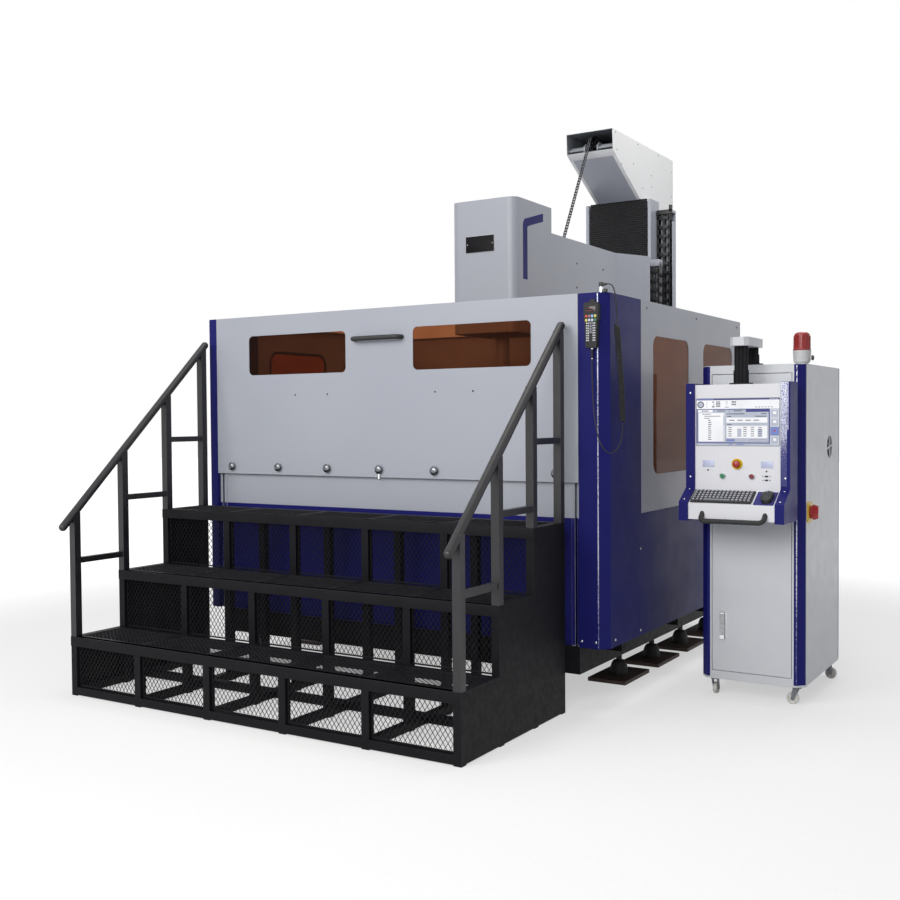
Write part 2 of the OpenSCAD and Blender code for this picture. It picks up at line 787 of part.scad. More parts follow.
module drag_chain() {
    plate = 9;
    color("#1c1d1f") placed() {
        for (x = [-link_w / 2, link_w / 2 - plate]) across(chain_x + x, chain_x + x + plate)
            for (i = [0:link_count - 1]) {
                p = chain_place((i + 0.5) * link_step);
                translate([p[0], p[1]]) rotate(p[2])
                    link_outline(i == 0 ? [-0.5] : i == link_count - 1 ? [0.5] : [-0.5, 0.5]);
            }
        // rungs on both faces and a separator between them
        for (i = [0:link_count - 1]) {
            p = chain_place((i + 0.5) * link_step);
            translate([chain_x, p[0], p[1]]) rotate([p[2], 0, 0]) {
                for (y = [-link_h / 2, link_h / 2 - 7]) translate([-link_w / 2 + 1, y, -9])
                    cube([link_w - 2, 7, 18]);
                translate([-3, -link_h / 2 + 1, -9]) cube([6, link_h - 2, 18]);
            }
        }
    }
}

// Lift chain: from the arm's lug, over the sprocket and back to its anchor in the hood
lug_z = arm_top + 28;
lug_pin = 6;
lift_r = sprocket_r + 5;
lift_d = [sprocket_y - chain_y, sprocket_z - lug_z];
lift_len = sqrt(lift_d * lift_d - lift_r * lift_r);
lift_a = atan2(lift_d.y, lift_d.x) + asin(lift_r / norm(lift_d));
lift_arc = lift_r * lift_a * PI / 180;
lift_s0 = lug_pin + 10;
lift_n = floor((lift_len + lift_arc + 460) / chain_pitch);
function lift_place(s) =
    s < lift_len ? [chain_y + s * cos(lift_a), lug_z + s * sin(lift_a), lift_a]
    : s < lift_len + lift_arc ?
        let (h = lift_a - (s - lift_len) / lift_r * 180 / PI)
        [sprocket_y - lift_r * sin(h), sprocket_z + lift_r * cos(h), h]
    : [sprocket_y + s - lift_len - lift_arc, sprocket_z + lift_r, 0];
lift_end = lift_place(lift_s0 + lift_n * chain_pitch)[0] + 9.5;

module lift_chain() {
    color("#2d2e31") placed() {
        for (x = [-11, 8]) across(arm_x + x, arm_x + x + 3) {
            for (i = [0:lift_n]) {
                p = lift_place(lift_s0 + i * chain_pitch);
                translate([p[0], p[1]]) circle(9);
            }
            for (i = [0:lift_n - 1]) {
                p = lift_place(lift_s0 + (i + 0.5) * chain_pitch);
                translate([p[0], p[1]]) rotate(p[2]) square([chain_pitch, 11], center = true);
            }
        }
        for (i = [0:lift_n]) {
            p = lift_place(lift_s0 + i * chain_pitch);
            translate([0, p[0], p[1]]) rod_x(arm_x - 8 - tiny, arm_x + 8 + tiny, 6.5);
        }
    }
}

// --- arm, head and lower arm ---

carriage_half = 238;
beam_half = 150;
beam_z = [arm_bot + 50, min(arm_top - 50, head_top - 60)];
quill_r = 46;
guide_r = 14;

// Turned guide head: flange, cone and nozzle, hanging down from z = 0 to z = -h
module guide_head(h) {
    rotate_extrude() polygon([[0, 0], [quill_r + 16, 0], [quill_r + 16, -0.15 * h], [quill_r, -0.2 * h],
        [quill_r, -0.45 * h], [guide_r + 10, -0.8 * h], [guide_r + 10, -0.9 * h], [guide_r, -h], [0, -h]]);
}

module upper_arm() {
    w = arm_w / 2;
    f = flare_w / 2;
    slide_y = column_y - z_rail_t - slide_gap;
    color(grey) placed() {
        translate([arm_x, 0, arm_bot]) linear_extrude(arm_top - arm_bot) polygon([
            [-w, head_rear], [w, head_rear], [w, flare_y0], [f, flare_y1], [f, flare_y1 + 20],
            [carriage_half, flare_y1 + 20], [carriage_half, slide_y], [-carriage_half, slide_y],
            [-carriage_half, flare_y1 + 20], [-f, flare_y1 + 20], [-f, flare_y1], [-w, flare_y0]]);
        // nose between the column's rails
        block([arm_x - z_rail + rail_w / 2 + slide_gap, arm_x + z_rail - rail_w / 2 - slide_gap],
            [slide_y - tiny, column_y - 8], [arm_bot + 20, arm_top - 20]);
        // beam, quill and wire guide inside the head
        block([arm_x - beam_half, arm_x + beam_half], [wire_y - 100, head_rear + tiny], beam_z);
        translate([arm_x, wire_y, guide_z + 110]) cylinder(h = beam_z[0] - guide_z - 110 + tiny, r = quill_r);
        translate([arm_x, wire_y, guide_z + 110]) guide_head(110);
        // bracket of the drag chain
        block([arm_x + carriage_half - tiny, chain_x + link_w / 2],
            [chain_front - link_h / 2 - 8, chain_front + link_h / 2 + 8], [arm_top - 50, arm_top]);
        // clevis and pin of the lift chain
        for (side = [-1, 1]) translate([arm_x + side * 20, chain_y, 0])
            block([-5, 5], [-20, 20], [arm_top - tiny, lug_z + 14]);
        translate([0, chain_y, lug_z]) rod_x(arm_x - 20, arm_x + 20, lug_pin);
    }
}

module head_cover() {
    w = arm_w / 2;
    t = 4;
    // plan with round front corners, i inside the outer faces
    module plan(i) {
        translate([i - w, head_y + head_r]) square([2 * (w - i), head_rear - i - head_y - head_r]);
        translate([head_r - w, head_y + i]) square([2 * (w - head_r), head_r - i + tiny]);
        for (side = [-1, 1]) translate([side * (w - head_r), head_y + head_r]) circle(head_r - i);
    }
    color(grey) placed() translate([arm_x, 0, 0]) difference() {
        translate([0, 0, head_bot]) linear_extrude(head_top - head_bot) plan(0);
        translate([0, 0, head_bot - 1]) linear_extrude(head_top - head_bot - t + 1) plan(t);
        block([-beam_half - 1, beam_half + 1], [head_rear - t - 1, head_rear + 1],
            [beam_z[0] - 1, beam_z[1] + 1]);
    }
}

module lower_arm() {
    w = low_arm_w / 2;
    c = 18;
    z1 = low_arm_z + low_arm_h;
    color("#7d8288") placed() {
        along(wire_y - 70, column_y) polygon([[arm_x - w + c, low_arm_z], [arm_x + w - c, low_arm_z],
            [arm_x + w, low_arm_z + c], [arm_x + w, z1 - c], [arm_x + w - c, z1], [arm_x - w + c, z1],
            [arm_x - w, z1 - c], [arm_x - w, low_arm_z + c]]);
        translate([arm_x, wire_y, z1 - tiny]) mirror([0, 0, 1]) guide_head(115);
    }
}

// --- saddle and table ---

saddle_half = [500 + table_travel, 350];
deck_top = bed_top + 140;
deck_t = 60;
x_rail = 250; // table rails, from the wire

module saddle() {
    cast = "#6b7078";
    rail_z = bed_top + rail_h;
    color(cast) placed() translate([arm_x, wire_y, 0]) {
        difference() {
            union() {
                block([-saddle_half.x, saddle_half.x], [-saddle_half.y, saddle_half.y],
                    [deck_top - deck_t, deck_top]);
                both_sides(0) block([y_rail - 60, y_rail + 60], [-saddle_half.y, saddle_half.y],
                    [bed_top + 8, deck_top - deck_t + tiny]);
            }
            both_sides(0) block([y_rail - rail_w / 2 - slide_gap, y_rail + rail_w / 2 + slide_gap],
                [-saddle_half.y - 1, saddle_half.y + 1], [bed_top, rail_z + slide_gap]);
        }
        for (side = [-1, 1]) translate([0, side * x_rail, 0])
            block([-saddle_half.x, saddle_half.x], [-rail_w / 2, rail_w / 2],
                [deck_top - tiny, deck_top + rail_h]);
    }
}

leg_in = 560; // inner faces of the table's pedestals
leg_t = 100;
bar_h = 50;

module worktable() {
    base_top = deck_top + rail_h + 70;
    bar_z = table_z - bar_h;
    color("#9a9ea3") placed() translate([arm_x, wire_y, 0]) {
        difference() {
            block([-leg_in - leg_t, leg_in + leg_t], [-saddle_half.y, saddle_half.y],
                [deck_top + 8, base_top]);
            for (side = [-1, 1]) translate([0, side * x_rail, 0])
                block([-leg_in - leg_t - 1, leg_in + leg_t + 1],
                    [-rail_w / 2 - slide_gap, rail_w / 2 + slide_gap],
                    [deck_top, deck_top + rail_h + slide_gap]);
        }
        both_sides(0) across(leg_in, leg_in + leg_t) polygon([[-saddle_half.y, base_top - tiny],
            [saddle_half.y, base_top - tiny], [table_l / 2 - 10, bar_z + tiny],
            [10 - table_l / 2, bar_z + tiny]]);
        difference() {
            block([-table_w / 2, table_w / 2], [-table_l / 2, table_l / 2], [bar_z, table_z]);
            block([table_bar - table_w / 2, table_w / 2 - table_bar],
                [table_bar - table_l / 2, table_l / 2 - table_bar], [bar_z - 1, table_z + 1]);
            // clamping holes along the four bars
            for (i = [-4:4], side = [-1, 1])
                translate([i * (table_w - table_bar) / 8, side * (table_l - table_bar) / 2, bar_z - 1])
                    cylinder(h = bar_h + 2, r = 6);
            for (i = [-1:1], side = [-1, 1])
                translate([side * (table_w - table_bar) / 2, i * (table_l - table_bar) / 4, bar_z - 1])
                    cylinder(h = bar_h + 2, r = 6);
        }
    }
}

// --- wire drum ---

drum_z = 790;
stand_t = 24;
shaft_d = 28;

module drum_carriage() {
    stand_y = drum_l / 2 + 14;
    base_top = bed_top + 45;
    color("#7d8288") placed() translate([drum_x, drum_y, 0]) {
        difference() {
            block([-150, 150], [-220, 220], [bed_top + 8, base_top]);
            for (side = [-1, 1]) translate([side * 100, 0, 0])
                block([-12 - slide_gap, 12 + slide_gap], [-221, 221],
                    [bed_top, bed_top + deck_rail + slide_gap]);
        }
        for (side = [-1, 1]) translate([0, side * (stand_y + stand_t / 2), 0]) difference() {
            along(-stand_t / 2, stand_t / 2) union() {
                polygon([[-90, base_top - tiny], [90, base_top - tiny], [38, drum_z], [-38, drum_z]]);
                translate([0, drum_z]) circle(38);
            }
            translate([0, 0, drum_z]) rod_y(-stand_t, stand_t, shaft_d / 2 + shaft_gap);
        }
        // drive motor on its foot behind the rear stand
        translate([0, 0, drum_z]) {
            rod_y(drum_l / 2 + 70, drum_l / 2 + 200, 62);
            rod_y(drum_l / 2 + 66, drum_l / 2 + 80, 72);
        }
        block([-50, 50], [drum_l / 2 + 80, 220], [base_top - tiny, drum_z - 40]);
        block([-50, 50], [drum_l / 2 + 80, drum_l / 2 + 190], [drum_z - 90, drum_z - 40]);
    }
}

// Spool with low flanges on a shaft along Y
module wire_drum() {
    r = drum_d / 2;
    h = drum_l / 2;
    color("#b98a3c") placed() translate([drum_x, drum_y, drum_z]) rotate([-90, 0, 0])
        rotate_extrude() polygon([
        [0, -h - 58], [shaft_d / 2, -h - 58], [shaft_d / 2, -h - 12], [shaft_d / 2 + 8, -h - 12],
        [shaft_d / 2 + 8, -h], [r + 6, -h], [r + 6, 8 - h], [r, 10 - h], [r, h - 10], [r + 6, h - 8],
        [r + 6, h], [shaft_d / 2 + 8, h], [shaft_d / 2 + 8, h + 12], [shaft_d / 2, h + 12],
        [shaft_d / 2, h + 58], [0, h + 58]]);
}

// --- stairs ---

tread_t = 5;
stair_x = [for (i = [0:bays]) stair_x0 + tube / 2 + i * (stair_w - tube) / bays];
bay_w = (stair_w - tube) / bays - tube; // clear width between two frames
function plane_y(k) = stair_y0 + k * going;
function tread_z(k) = k * rise;
floor_gap = 5;

module stair_frame() {
    // tube frame in Y and Z at each bay boundary
    module rib() {
        for (k = [0:steps - 1]) {
            translate([plane_y(k), 0]) square([tube, tread_z(k + 1) - tread_t]);
            translate([plane_y(k), tread_z(k + 1) - tread_t - tube]) square([going, tube]);
        }
        translate([plane_y(steps) - tube, 0]) square([tube, tread_z(steps) - tread_t]);
        translate([plane_y(0), floor_gap]) square([steps * going, tube]);
    }
    // stepped side sheet
    module side() {
        for (k = [0:steps - 1]) translate([plane_y(k), floor_gap])
            square([(steps - k) * going, tread_z(k + 1) - tread_t - floor_gap]);
    }
    color(black) placed() {
        for (x = stair_x) across(x - tube / 2, x + tube / 2) rib();
        across(stair_x0, stair_x0 + sheet) side();
        across(stair_x1 - sheet, stair_x1) side();
        for (k = [0:steps - 1]) block([stair_x0, stair_x1], [plane_y(k), plane_y(k) + tube],
            [tread_z(k + 1) - tread_t - tube, tread_z(k + 1) - tread_t]);
        for (k = [1:steps]) block([stair_x0, stair_x1], [plane_y(k) - tube, plane_y(k)],
            [tread_z(k) - tread_t - tube, tread_z(k) - tread_t]);
        for (y = [plane_y(0), (plane_y(0) + plane_y(steps) - tube) / 2, plane_y(steps) - tube])
            block([stair_x0, stair_x1], [y, y + tube], [floor_gap, floor_gap + tube]);
    }
}

// Expanded-metal treads in their edge frames, with a folded nosing
module stair_treads() {
    edge = 22;
    color(black) placed() for (k = [0:steps - 1]) {
        translate([0, 0, tread_z(k + 1) - tread_t]) linear_extrude(tread_t) difference() {
            translate([stair_x0, plane_y(k) - sheet]) square([stair_w, going + sheet]);
            for (i = [0:bays - 1])
                translate([stair_x[i] + tube / 2 + edge / 2, plane_y(k) + tube + edge / 2])
                    diamonds(bay_w - edge, going - 2 * tube - edge, 5, 3);
        }
        block([stair_x0, stair_x1], [plane_y(k) - sheet, plane_y(k)],
            [tread_z(k + 1) - nosing_h, tread_z(k + 1)]);
    }
}

// Expanded-metal panels between the uprights of each riser
module stair_risers() {
    edge = 16;
    color(black) placed() for (k = [0:steps - 1], i = [0:bays - 1]) {
        z0 = k == 0 ? floor_gap + tube : tread_z(k);
        h = tread_z(k + 1) - tread_t - tube - z0;
        y0 = plane_y(k) + (tube - mesh_t) / 2;
        along(y0, y0 + mesh_t) translate([stair_x[i] + tube / 2, z0]) difference() {
            square([bay_w, h]);
            translate([edge / 2, edge / 2]) diamonds(bay_w - edge, h - edge, 5, 3);
        }
    }
}

module handrails() {
    bar = 30;
    slope = atan2(rise, going);
    post_at = concat([for (k = [0:steps - 1]) plane_y(k) + tube / 2], [plane_y(steps) - tube / 2]);
    function rail_z(y) = rise + rail_up + (y - post_at[0]) * rise / going;
    y0 = stair_y0 - rail_start + rail_d / 2;
    y1 = plane_y(steps) - rail_d / 2 + 30;
    color(black) placed() for (x = [stair_x[0], stair_x[bays]]) {
        for (k = [0:steps]) block([x - tube / 2, x + tube / 2],
            [post_at[k] - tube / 2, post_at[k] + tube / 2], [tread_z(min(k + 1, steps)), rail_z(post_at[k])]);
        for (k = [0:steps - 1]) block([x - bar / 2, x + bar / 2],
            [post_at[k] + tube / 2 - tiny, post_at[k + 1] - tube / 2 + tiny],
            [tread_z(k + 1) + mid_up - bar / 2, tread_z(k + 1) + mid_up + bar / 2]);
        translate([x, y0, rail_z(y0)]) rotate([slope - 90, 0, 0]) {
            cylinder(h = (y1 - y0) / cos(slope), r = rail_d / 2);
            for (z = [0, (y1 - y0) / cos(slope)]) translate([0, 0, z]) sphere(rail_d / 2);
        }
    }
}

// --- cabinet ---

cab_floor = 10; // bottom plate, which the casters bolt to
frame_w = 9; // frame around the door
frame_t = 18;
door_l = cab_x0 + post_in + frame_w + cab_door_gap;
door_r = cab_x1 - post_in - frame_w - cab_door_gap;
hinge_at = [door_r - 9, cab_y + 9];
hinge_d = 10;
fan_y = cab_y + 543;
fan_z = cab_top - 423;
fan_depth = 34;
fan_gap = 4; // blade tips to the housing's bore
switch_y = cab_y + 110;
switch_z = cab_bot + 866;

// Plan of the cabinet with its four chamfered corners
module cabinet_plan() {
    c = post_c;
    polygon([[cab_x0 + c, cab_y], [cab_x1 - c, cab_y], [cab_x1, cab_y + c], [cab_x1, cab_y1 - c],
        [cab_x1 - c, cab_y1], [cab_x0 + c, cab_y1], [cab_x0, cab_y1 - c], [cab_x0, cab_y + c]]);
}

// Swivel axes of the casters and where each one trails
caster_in = [50, 75];
casters = [[cab_x0 + caster_in.x, cab_y + caster_in.y, 90], [cab_x1 - caster_in.x, cab_y + caster_in.y, 180],
    [cab_x0 + caster_in.x, cab_y1 - caster_in.y, 90], [cab_x1 - caster_in.x, cab_y1 - caster_in.y, 0]];
stem_d = 12;
stem_h = 8;

module cabinet_shell() {
    wall_y = [cab_y + post_in, cab_y1 - post_in];
    wall_x = [cab_x0 + post_in, cab_x1 - post_in];
    wall_z = [cab_bot, cab_top];
    in_x = cab_x1 - sheet;
    color(pale) placed() {
        translate([0, 0, cab_top - sheet]) linear_extrude(sheet) cabinet_plan();
        difference() {
            translate([0, 0, cab_bot - tiny]) linear_extrude(cab_floor + tiny) cabinet_plan();
            for (c = casters) translate([c.x, c.y, cab_bot - 1])
                cylinder(h = stem_h + 1, r = stem_d / 2 + shaft_gap);
        }
        block([cab_x0, cab_x0 + sheet], wall_y, wall_z);
        block(wall_x, [cab_y1 - sheet, cab_y1], wall_z);
        // right wall, with a cross left standing in front of the fan
        difference() {
            block([in_x, cab_x1], wall_y, wall_z);
            difference() {
                translate([0, fan_y, fan_z]) rod_x(in_x - 1, cab_x1 + 1, fan_d / 2);
                for (a = [0, 90]) translate([0, fan_y, fan_z]) rotate([a + 8, 0, 0])
                    block([in_x - 2, cab_x1 + 2], [-4, 4], [-fan_d, fan_d]);
            }
        }
        // fan housing with its spider and the stub that the rotor turns on
        translate([in_x - fan_depth, fan_y, fan_z]) {
            difference() {
                block([0, fan_depth + tiny], [-fan_d / 2 - 4, fan_d / 2 + 4],
                    [-fan_d / 2 - 4, fan_d / 2 + 4]);
                rod_x(-1, fan_depth + 1, fan_d / 2 + 1);
            }
            for (a = [0:90:270]) rotate([a, 0, 0]) block([1, 5], [-4, 4], [0, fan_d / 2 + 2]);
            rod_x(1, 5, 24);
            rod_x(1, 20, 4);
        }
        // front frame round the door, with the two hinge pins
        difference() {
            block(wall_x, [cab_y, cab_y + frame_t], wall_z);
            block([wall_x[0] + frame_w, wall_x[1] - frame_w], [cab_y - 1, cab_y + frame_t + 1],
                [cab_door_bot - cab_door_gap, cab_door_top + cab_door_gap]);
        }
        for (z = [cab_door_bot - cab_door_gap - tiny, cab_door_top - 20])
            translate([hinge_at.x, hinge_at.y, z]) cylinder(h = 20 + cab_door_gap + tiny, r = hinge_d / 2);
    }
}

module cabinet_posts() {
    c = post_c;
    p = post_in;
    color(blue) placed() for (i = [0, 1], j = [0, 1])
        translate([i == 0 ? cab_x0 : cab_x1, j == 0 ? cab_y : cab_y1, cab_bot + cab_floor])
            mirror([i, 0, 0]) mirror([0, j, 0]) linear_extrude(cab_top - cab_bot - cab_floor - sheet)
                polygon([[c, 0], [p, 0], [p, sheet], [c + 2, sheet], [sheet, c + 2], [sheet, p],
                    [0, p], [0, c]]);
}

module cabinet_door() {
    knuckle = 36;
    color(pale) placed() difference() {
        union() {
            translate([door_l, cab_y, cab_door_bot])
                pan(door_r - door_l, cab_door_top - cab_door_bot, cab_door_t);
            for (z = [cab_door_bot, cab_door_top - knuckle])
                block([door_r - 22, door_r], [cab_y, cab_y + cab_door_t], [z, z + knuckle]);
        }
        for (z = [cab_door_bot - 1, cab_door_top - 21])
            translate([hinge_at.x, hinge_at.y, z]) cylinder(h = 22, r = hinge_d / 2 + shaft_gap);
    }
}

latch_l = 134;
latch_x = door_l + 54;
latch_z = cab_bot + 346; // top of the latch

// Lever that lies on the door and swings out about its round top end
module door_latch() {
    r = 6;
    color("#2a2b2d") placed() translate([0, cab_y - r - slide_gap, 0]) across(latch_x - 12, latch_x + 12) {
        translate([0, latch_z - r]) circle(r);
        translate([-r, latch_z - latch_l + 14]) square([2 * r, latch_l - 14 - r]);
        polygon([[-r, latch_z - latch_l + 14 + tiny], [-r - 8, latch_z - latch_l], [-r, latch_z - latch_l],
            [r, latch_z - latch_l + 14 + tiny]]);
    }
}

module fan_rotor() {
    hub_r = 22;
    tip = fan_d / 2 - fan_gap;
    color("#1d1e20") placed() translate([cab_x1 - sheet - fan_depth + 6, fan_y, fan_z]) difference() {
        union() {
            rod_x(0, 22, hub_r);
            for (i = [0:fan_blades - 1]) rotate([i * 360 / fan_blades, 0, 0]) intersection() {
                translate([11, 0, 0]) rotate([0, 0, 50]) block([-1, 1], [-16, 16], [hub_r - 3, tip + 4]);
                rod_x(1, 21, tip);
            }
        }
        rod_x(-1, 15, 4 + shaft_gap);
    }
}

switch_t = 6;

module switch_plate() {
    color("#e8c62a") placed() translate([cab_x1, switch_y, switch_z]) difference() {
        across(0, switch_t) round_rect(86, 100, 6);
        rod_x(-1, switch_t + 1, 6 + shaft_gap);
    }
}

// Rotary handle: a round base with a tapered grip across it, on a shaft in the plate
module switch_handle() {
    x0 = cab_x1 + switch_t + 0.5;
    out = cab_x1 + switch_out;
    color("#c3182b") placed() translate([0, switch_y, switch_z]) {
        rod_x(x0 - 5, x0 + 1, 6);
        rod_x(x0, x0 + 12, 32);
        intersection() {
            across(x0 + 11, out) round_rect(24, 74, 8);
            along(-20, 20) polygon([[x0, -40], [x0 + 14, -40], [out, -30], [out, 30],
                [x0 + 14, 40], [x0, 40]]);
        }
    }
}

beacon_at = [cab_x1 - 44, cab_y + 135];
beacon_base_h = 70;
beacon_h = 162;

module beacon_base() {
    r = beacon_d / 2;
    color("#b9bcc2") placed() translate([beacon_at.x, beacon_at.y, cab_top]) {
        cylinder(h = 8, r = r - 12);
        translate([0, 0, 8 - tiny]) rotate_extrude() polygon([[0, 0], [r - 8, 0], [r - 3, 6], [r, 48],
            [r, beacon_base_h - 8], [0, beacon_base_h - 8]]);
        translate([0, 0, 34]) rod_x(r - 4, r + 6, 10);
    }
}

module beacon_lens() {
    r = beacon_d / 2 - 1;
    dome = 22;
    h = beacon_h - beacon_base_h - 18;
    color("#c0101c") placed() translate([beacon_at.x, beacon_at.y, cab_top + beacon_base_h])
        rotate_extrude() polygon(concat([[0, 0], [r, 0], [r, 6], [r - 3, 10], [r - 4, h]],
            [for (a = [15:15:75]) [r - 4 - dome + dome * cos(a), h + 18 * sin(a)]], [[0, h + 18]]));
}

// --- console and its arm ---

tube_r = 15;
tube_pitch = 38;
spigot_r = 13;
spigot_h = 30;

// Two tubes side by side with a web, collars and a flange at one end
module twin_tube(h) {
    for (side = [-1, 1]) translate([side * tube_pitch / 2, 0, 0]) {
        cylinder(h = h, r = tube_r);
        cylinder(h = min(70, 0.6 * h), r = tube_r + 4);
    }
    block([-tube_pitch / 2, tube_pitch / 2], [-7, 7], [0, h]);
    block([-50, 50], [-29, 29], [0, 8]);
    cylinder(h = h + spigot_h, r = spigot_r);
}

module arm_support() {
    color(black) placed() translate([con_x, post_y, cab_top]) twin_tube(swing_up - slide_gap);
}

module hanger() {
    color(black) placed() translate([con_x, hanger_y, con_top]) twin_tube(swing_z - con_top - slide_gap);
}

// Arm casting with chamfered ends and two blind bores for the spigots
module swing_arm() {
    w = swing_w / 2;
    c = 20;
    y0 = hanger_y - w;
    y1 = post_y + w;
    color(pale) placed() difference() {
        translate([con_x, 0, swing_z]) linear_extrude(swing_h) polygon([[c - w, y0], [w - c, y0], [w, y0 + c],
            [w, y1 - c], [w - c, y1], [c - w, y1], [-w, y1 - c], [-w, y0 + c]]);
        for (y = [hanger_y, post_y]) translate([con_x, y, swing_z - 1])
            cylinder(h = spigot_h + 2, r = spigot_r + shaft_gap);
    }
}

// Side outline of the console grown by g: panel, sloped shelf and its front edge
module console_side(g) {
    polygon([[con_y - g, con_top + g], [con_y1, con_top + g], [con_y1, con_bot - g],
        [shelf_y - g, con_bot - g], [shelf_y - g, con_mid - shelf_drop + g], [con_y - g, con_mid + 1.4 * g]]);
}

screen_z = con_top - 184;
estop_z = con_top - 389;
push_z = con_top - 449;
push_x = 72;
estop_d = 36;
push_d = 22;
bezel = 5; // how far the buttons' rings stand out
stem_r = 8;

module console_shell() {
    w = con_w / 2;
    color(pale) placed() translate([con_x, 0, 0]) difference() {
        union() {
            across(-w, w) console_side(0);
            translate([0, 0, estop_z]) rod_y(con_y - bezel, con_y + 1, 26);
            for (side = [-1, 1]) translate([side * push_x, 0, push_z])
                rod_y(con_y - bezel, con_y + 1, push_d / 2 + 3);
        }
        // recess of the screen
        block([-screen_w / 2 - button_gap, screen_w / 2 + button_gap], [con_y - 1, con_y + 4],
            [screen_z - screen_h / 2 - button_gap, screen_z + screen_h / 2 + button_gap]);
        // bores of the emergency stop and of the two push buttons
        translate([0, 0, estop_z]) rod_y(con_y - bezel - 1, con_y + 35, stem_r + shaft_gap);
        for (side = [-1, 1]) translate([side * push_x, 0, push_z])
            rod_y(con_y - bezel - 1, con_y + 20, push_d / 2 + shaft_gap);
    }
}

module console_cheeks() {
    w = con_w / 2;
    color(blue) placed() both_sides(con_x) across(con_x + w, con_x + w + cheek_t) console_side(8);
}

module screen() {
    color("#e9ecf4") placed() block([con_x - screen_w / 2, con_x + screen_w / 2], [con_y + 1, con_y + 4],
        [screen_z - screen_h / 2, screen_z + screen_h / 2]);
}

// Working frame on the sloped shelf: X across, -Y down the slope, Z off it
module on_shelf() {
    translate([con_x, con_y, con_mid]) rotate([atan2(shelf_drop, shelf_out), 0, 0]) children();
}

module keyboard_and_mouse() {
    depth = norm([shelf_out, shelf_drop]);
    kx = -con_w / 2 + 8;
    ky = 10 - depth;
    kd = depth - 22;
    rows = 5;
    cols = 15;
    p = [(key_w - 8) / cols, (kd - 8) / rows];
    mouse_at = [con_w / 2 - 48, -depth / 2 - 6];
    color("#3a3c40") placed() on_shelf() {
        block([kx, kx + key_w], [ky, ky + kd], [0, 9]);
        for (i = [0:cols - 1], j = [0:rows - 1])
            if (j > 0 || i < 3 || i > 9)
                translate([kx + 4 + (i + 0.08) * p.x, ky + 4 + (j + 0.08) * p.y, 9 - tiny])
                    cube([0.84 * p.x, 0.84 * p.y, 5]);
        translate([kx + 4 + 3.08 * p.x, ky + 4 + 0.08 * p.y, 9 - tiny]) cube([6.84 * p.x, 0.84 * p.y, 5]);
        // mouse: a low dome cut from a ball
        translate([mouse_at.x, mouse_at.y, 0]) intersection() {
            linear_extrude(40) union() {
                translate([0, 18]) circle(28);
                translate([0, -16]) circle(26);
                square([50, 40], center = true);
            }
            translate([0, -2, -58]) sphere(90, $fn = 64);
        }
    }
}

// Mushroom head on a stem
module estop_button() {
    r = estop_d / 2;
    color("#c3182b") placed() translate([con_x, con_y, estop_z]) rotate([90, 0, 0]) rotate_extrude()
        polygon([[0, -26], [stem_r, -26], [stem_r, bezel + 7], [r - 2, bezel + 7], [r, bezel + 10],
            [r, bezel + 15], [r - 5, bezel + 20], [0, bezel + 22]]);
}

module push_button(side, c) {
    r = push_d / 2;
    color(c) placed() translate([con_x + side * push_x, con_y, push_z]) rotate([90, 0, 0])
        rotate_extrude() polygon([[0, -14], [r, -14], [r, bezel + 3], [r - 2, bezel + 5], [0, bezel + 5]]);
}

module start_button() {
    push_button(-1, "#1f8a63");
}
module stop_button() {
    push_button(1, "#a32638");
}

// Bent grip bar under the shelf's front edge
module console_handle() {
    droop = 40;
    len = 330;
    color("#202124") placed() difference() {
        translate([con_x + 12, shelf_y + 12, con_bot + handle_down + 22]) rotate([droop, 0, 0])
            bar_handle(len - 24, 62, 24);
        block([con_x - con_w, con_x + con_w], [shelf_y, shelf_y + 60], [con_bot - 60, con_bot + 120]);
    }
}

// --- casters ---

// Fork of caster i: swivel head and stem, two arms and the wheel's axle
module caster_fork(i) {
    c = casters[i];
    r = wheel_d / 2;
    arm_t = 4;
    half = wheel_w / 2 + 2;
    head_z = cab_bot - 10;
    color("#b4b8bc") placed() translate([c.x, c.y, 0]) rotate([0, 0, c[2]]) {
        translate([0, 0, head_z - 8]) cylinder(h = 18 - slide_gap, r = 22);
        translate([0, 0, head_z]) cylinder(h = 10 + stem_h - 1, r = stem_d / 2);
        for (side = [-1, 1]) along(side > 0 ? half : -half - arm_t, side > 0 ? half + arm_t : -half)
            union() {
                translate([trail, r]) circle(8);
                polygon([[trail - 8, r], [trail + 8, r], [16, head_z - tiny], [-16, head_z - tiny]]);
            }
        block([-16, 16], [-half - arm_t, half + arm_t], [head_z - 8, head_z]);
        translate([trail, 0, r]) rod_y(-half - arm_t - 2, half + arm_t + 2, 4);
    }
}

module caster_wheel(i) {
    c = casters[i];
    r = wheel_d / 2;
    w = wheel_w / 2;
    color("#e6e6e2") placed() translate([c.x, c.y, 0]) rotate([0, 0, c[2]]) translate([trail, 0, r])
        rotate([-90, 0, 0]) rotate_extrude() polygon([[4 + shaft_gap, -w - 1], [9, -w - 1], [9, 3 - w],
            [r - 9, 3 - w], [r - 8, -w], [r - 3, -w], [r, 3 - w], [r, w - 3], [r - 3, w], [r - 8, w],
            [r - 9, w - 3], [9, w - 3], [9, w + 1], [4 + shaft_gap, w + 1]]);
}

module caster_fork_fl() { caster_fork(0); }
module caster_fork_fr() { caster_fork(1); }
module caster_fork_rl() { caster_fork(2); }
module caster_fork_rr() { caster_fork(3); }
module caster_wheel_fl() { caster_wheel(0); }
module caster_wheel_fr() { caster_wheel(1); }
module caster_wheel_rl() { caster_wheel(2); }
module caster_wheel_rr() { caster_wheel(3); }

// --- hand pendant and its cord ---

rem_x = -69; // middle of the pendant, on the right column
rem_z = 1781; // its lower edge
relief_l = 49;
relief_y = -rem_t / 2;

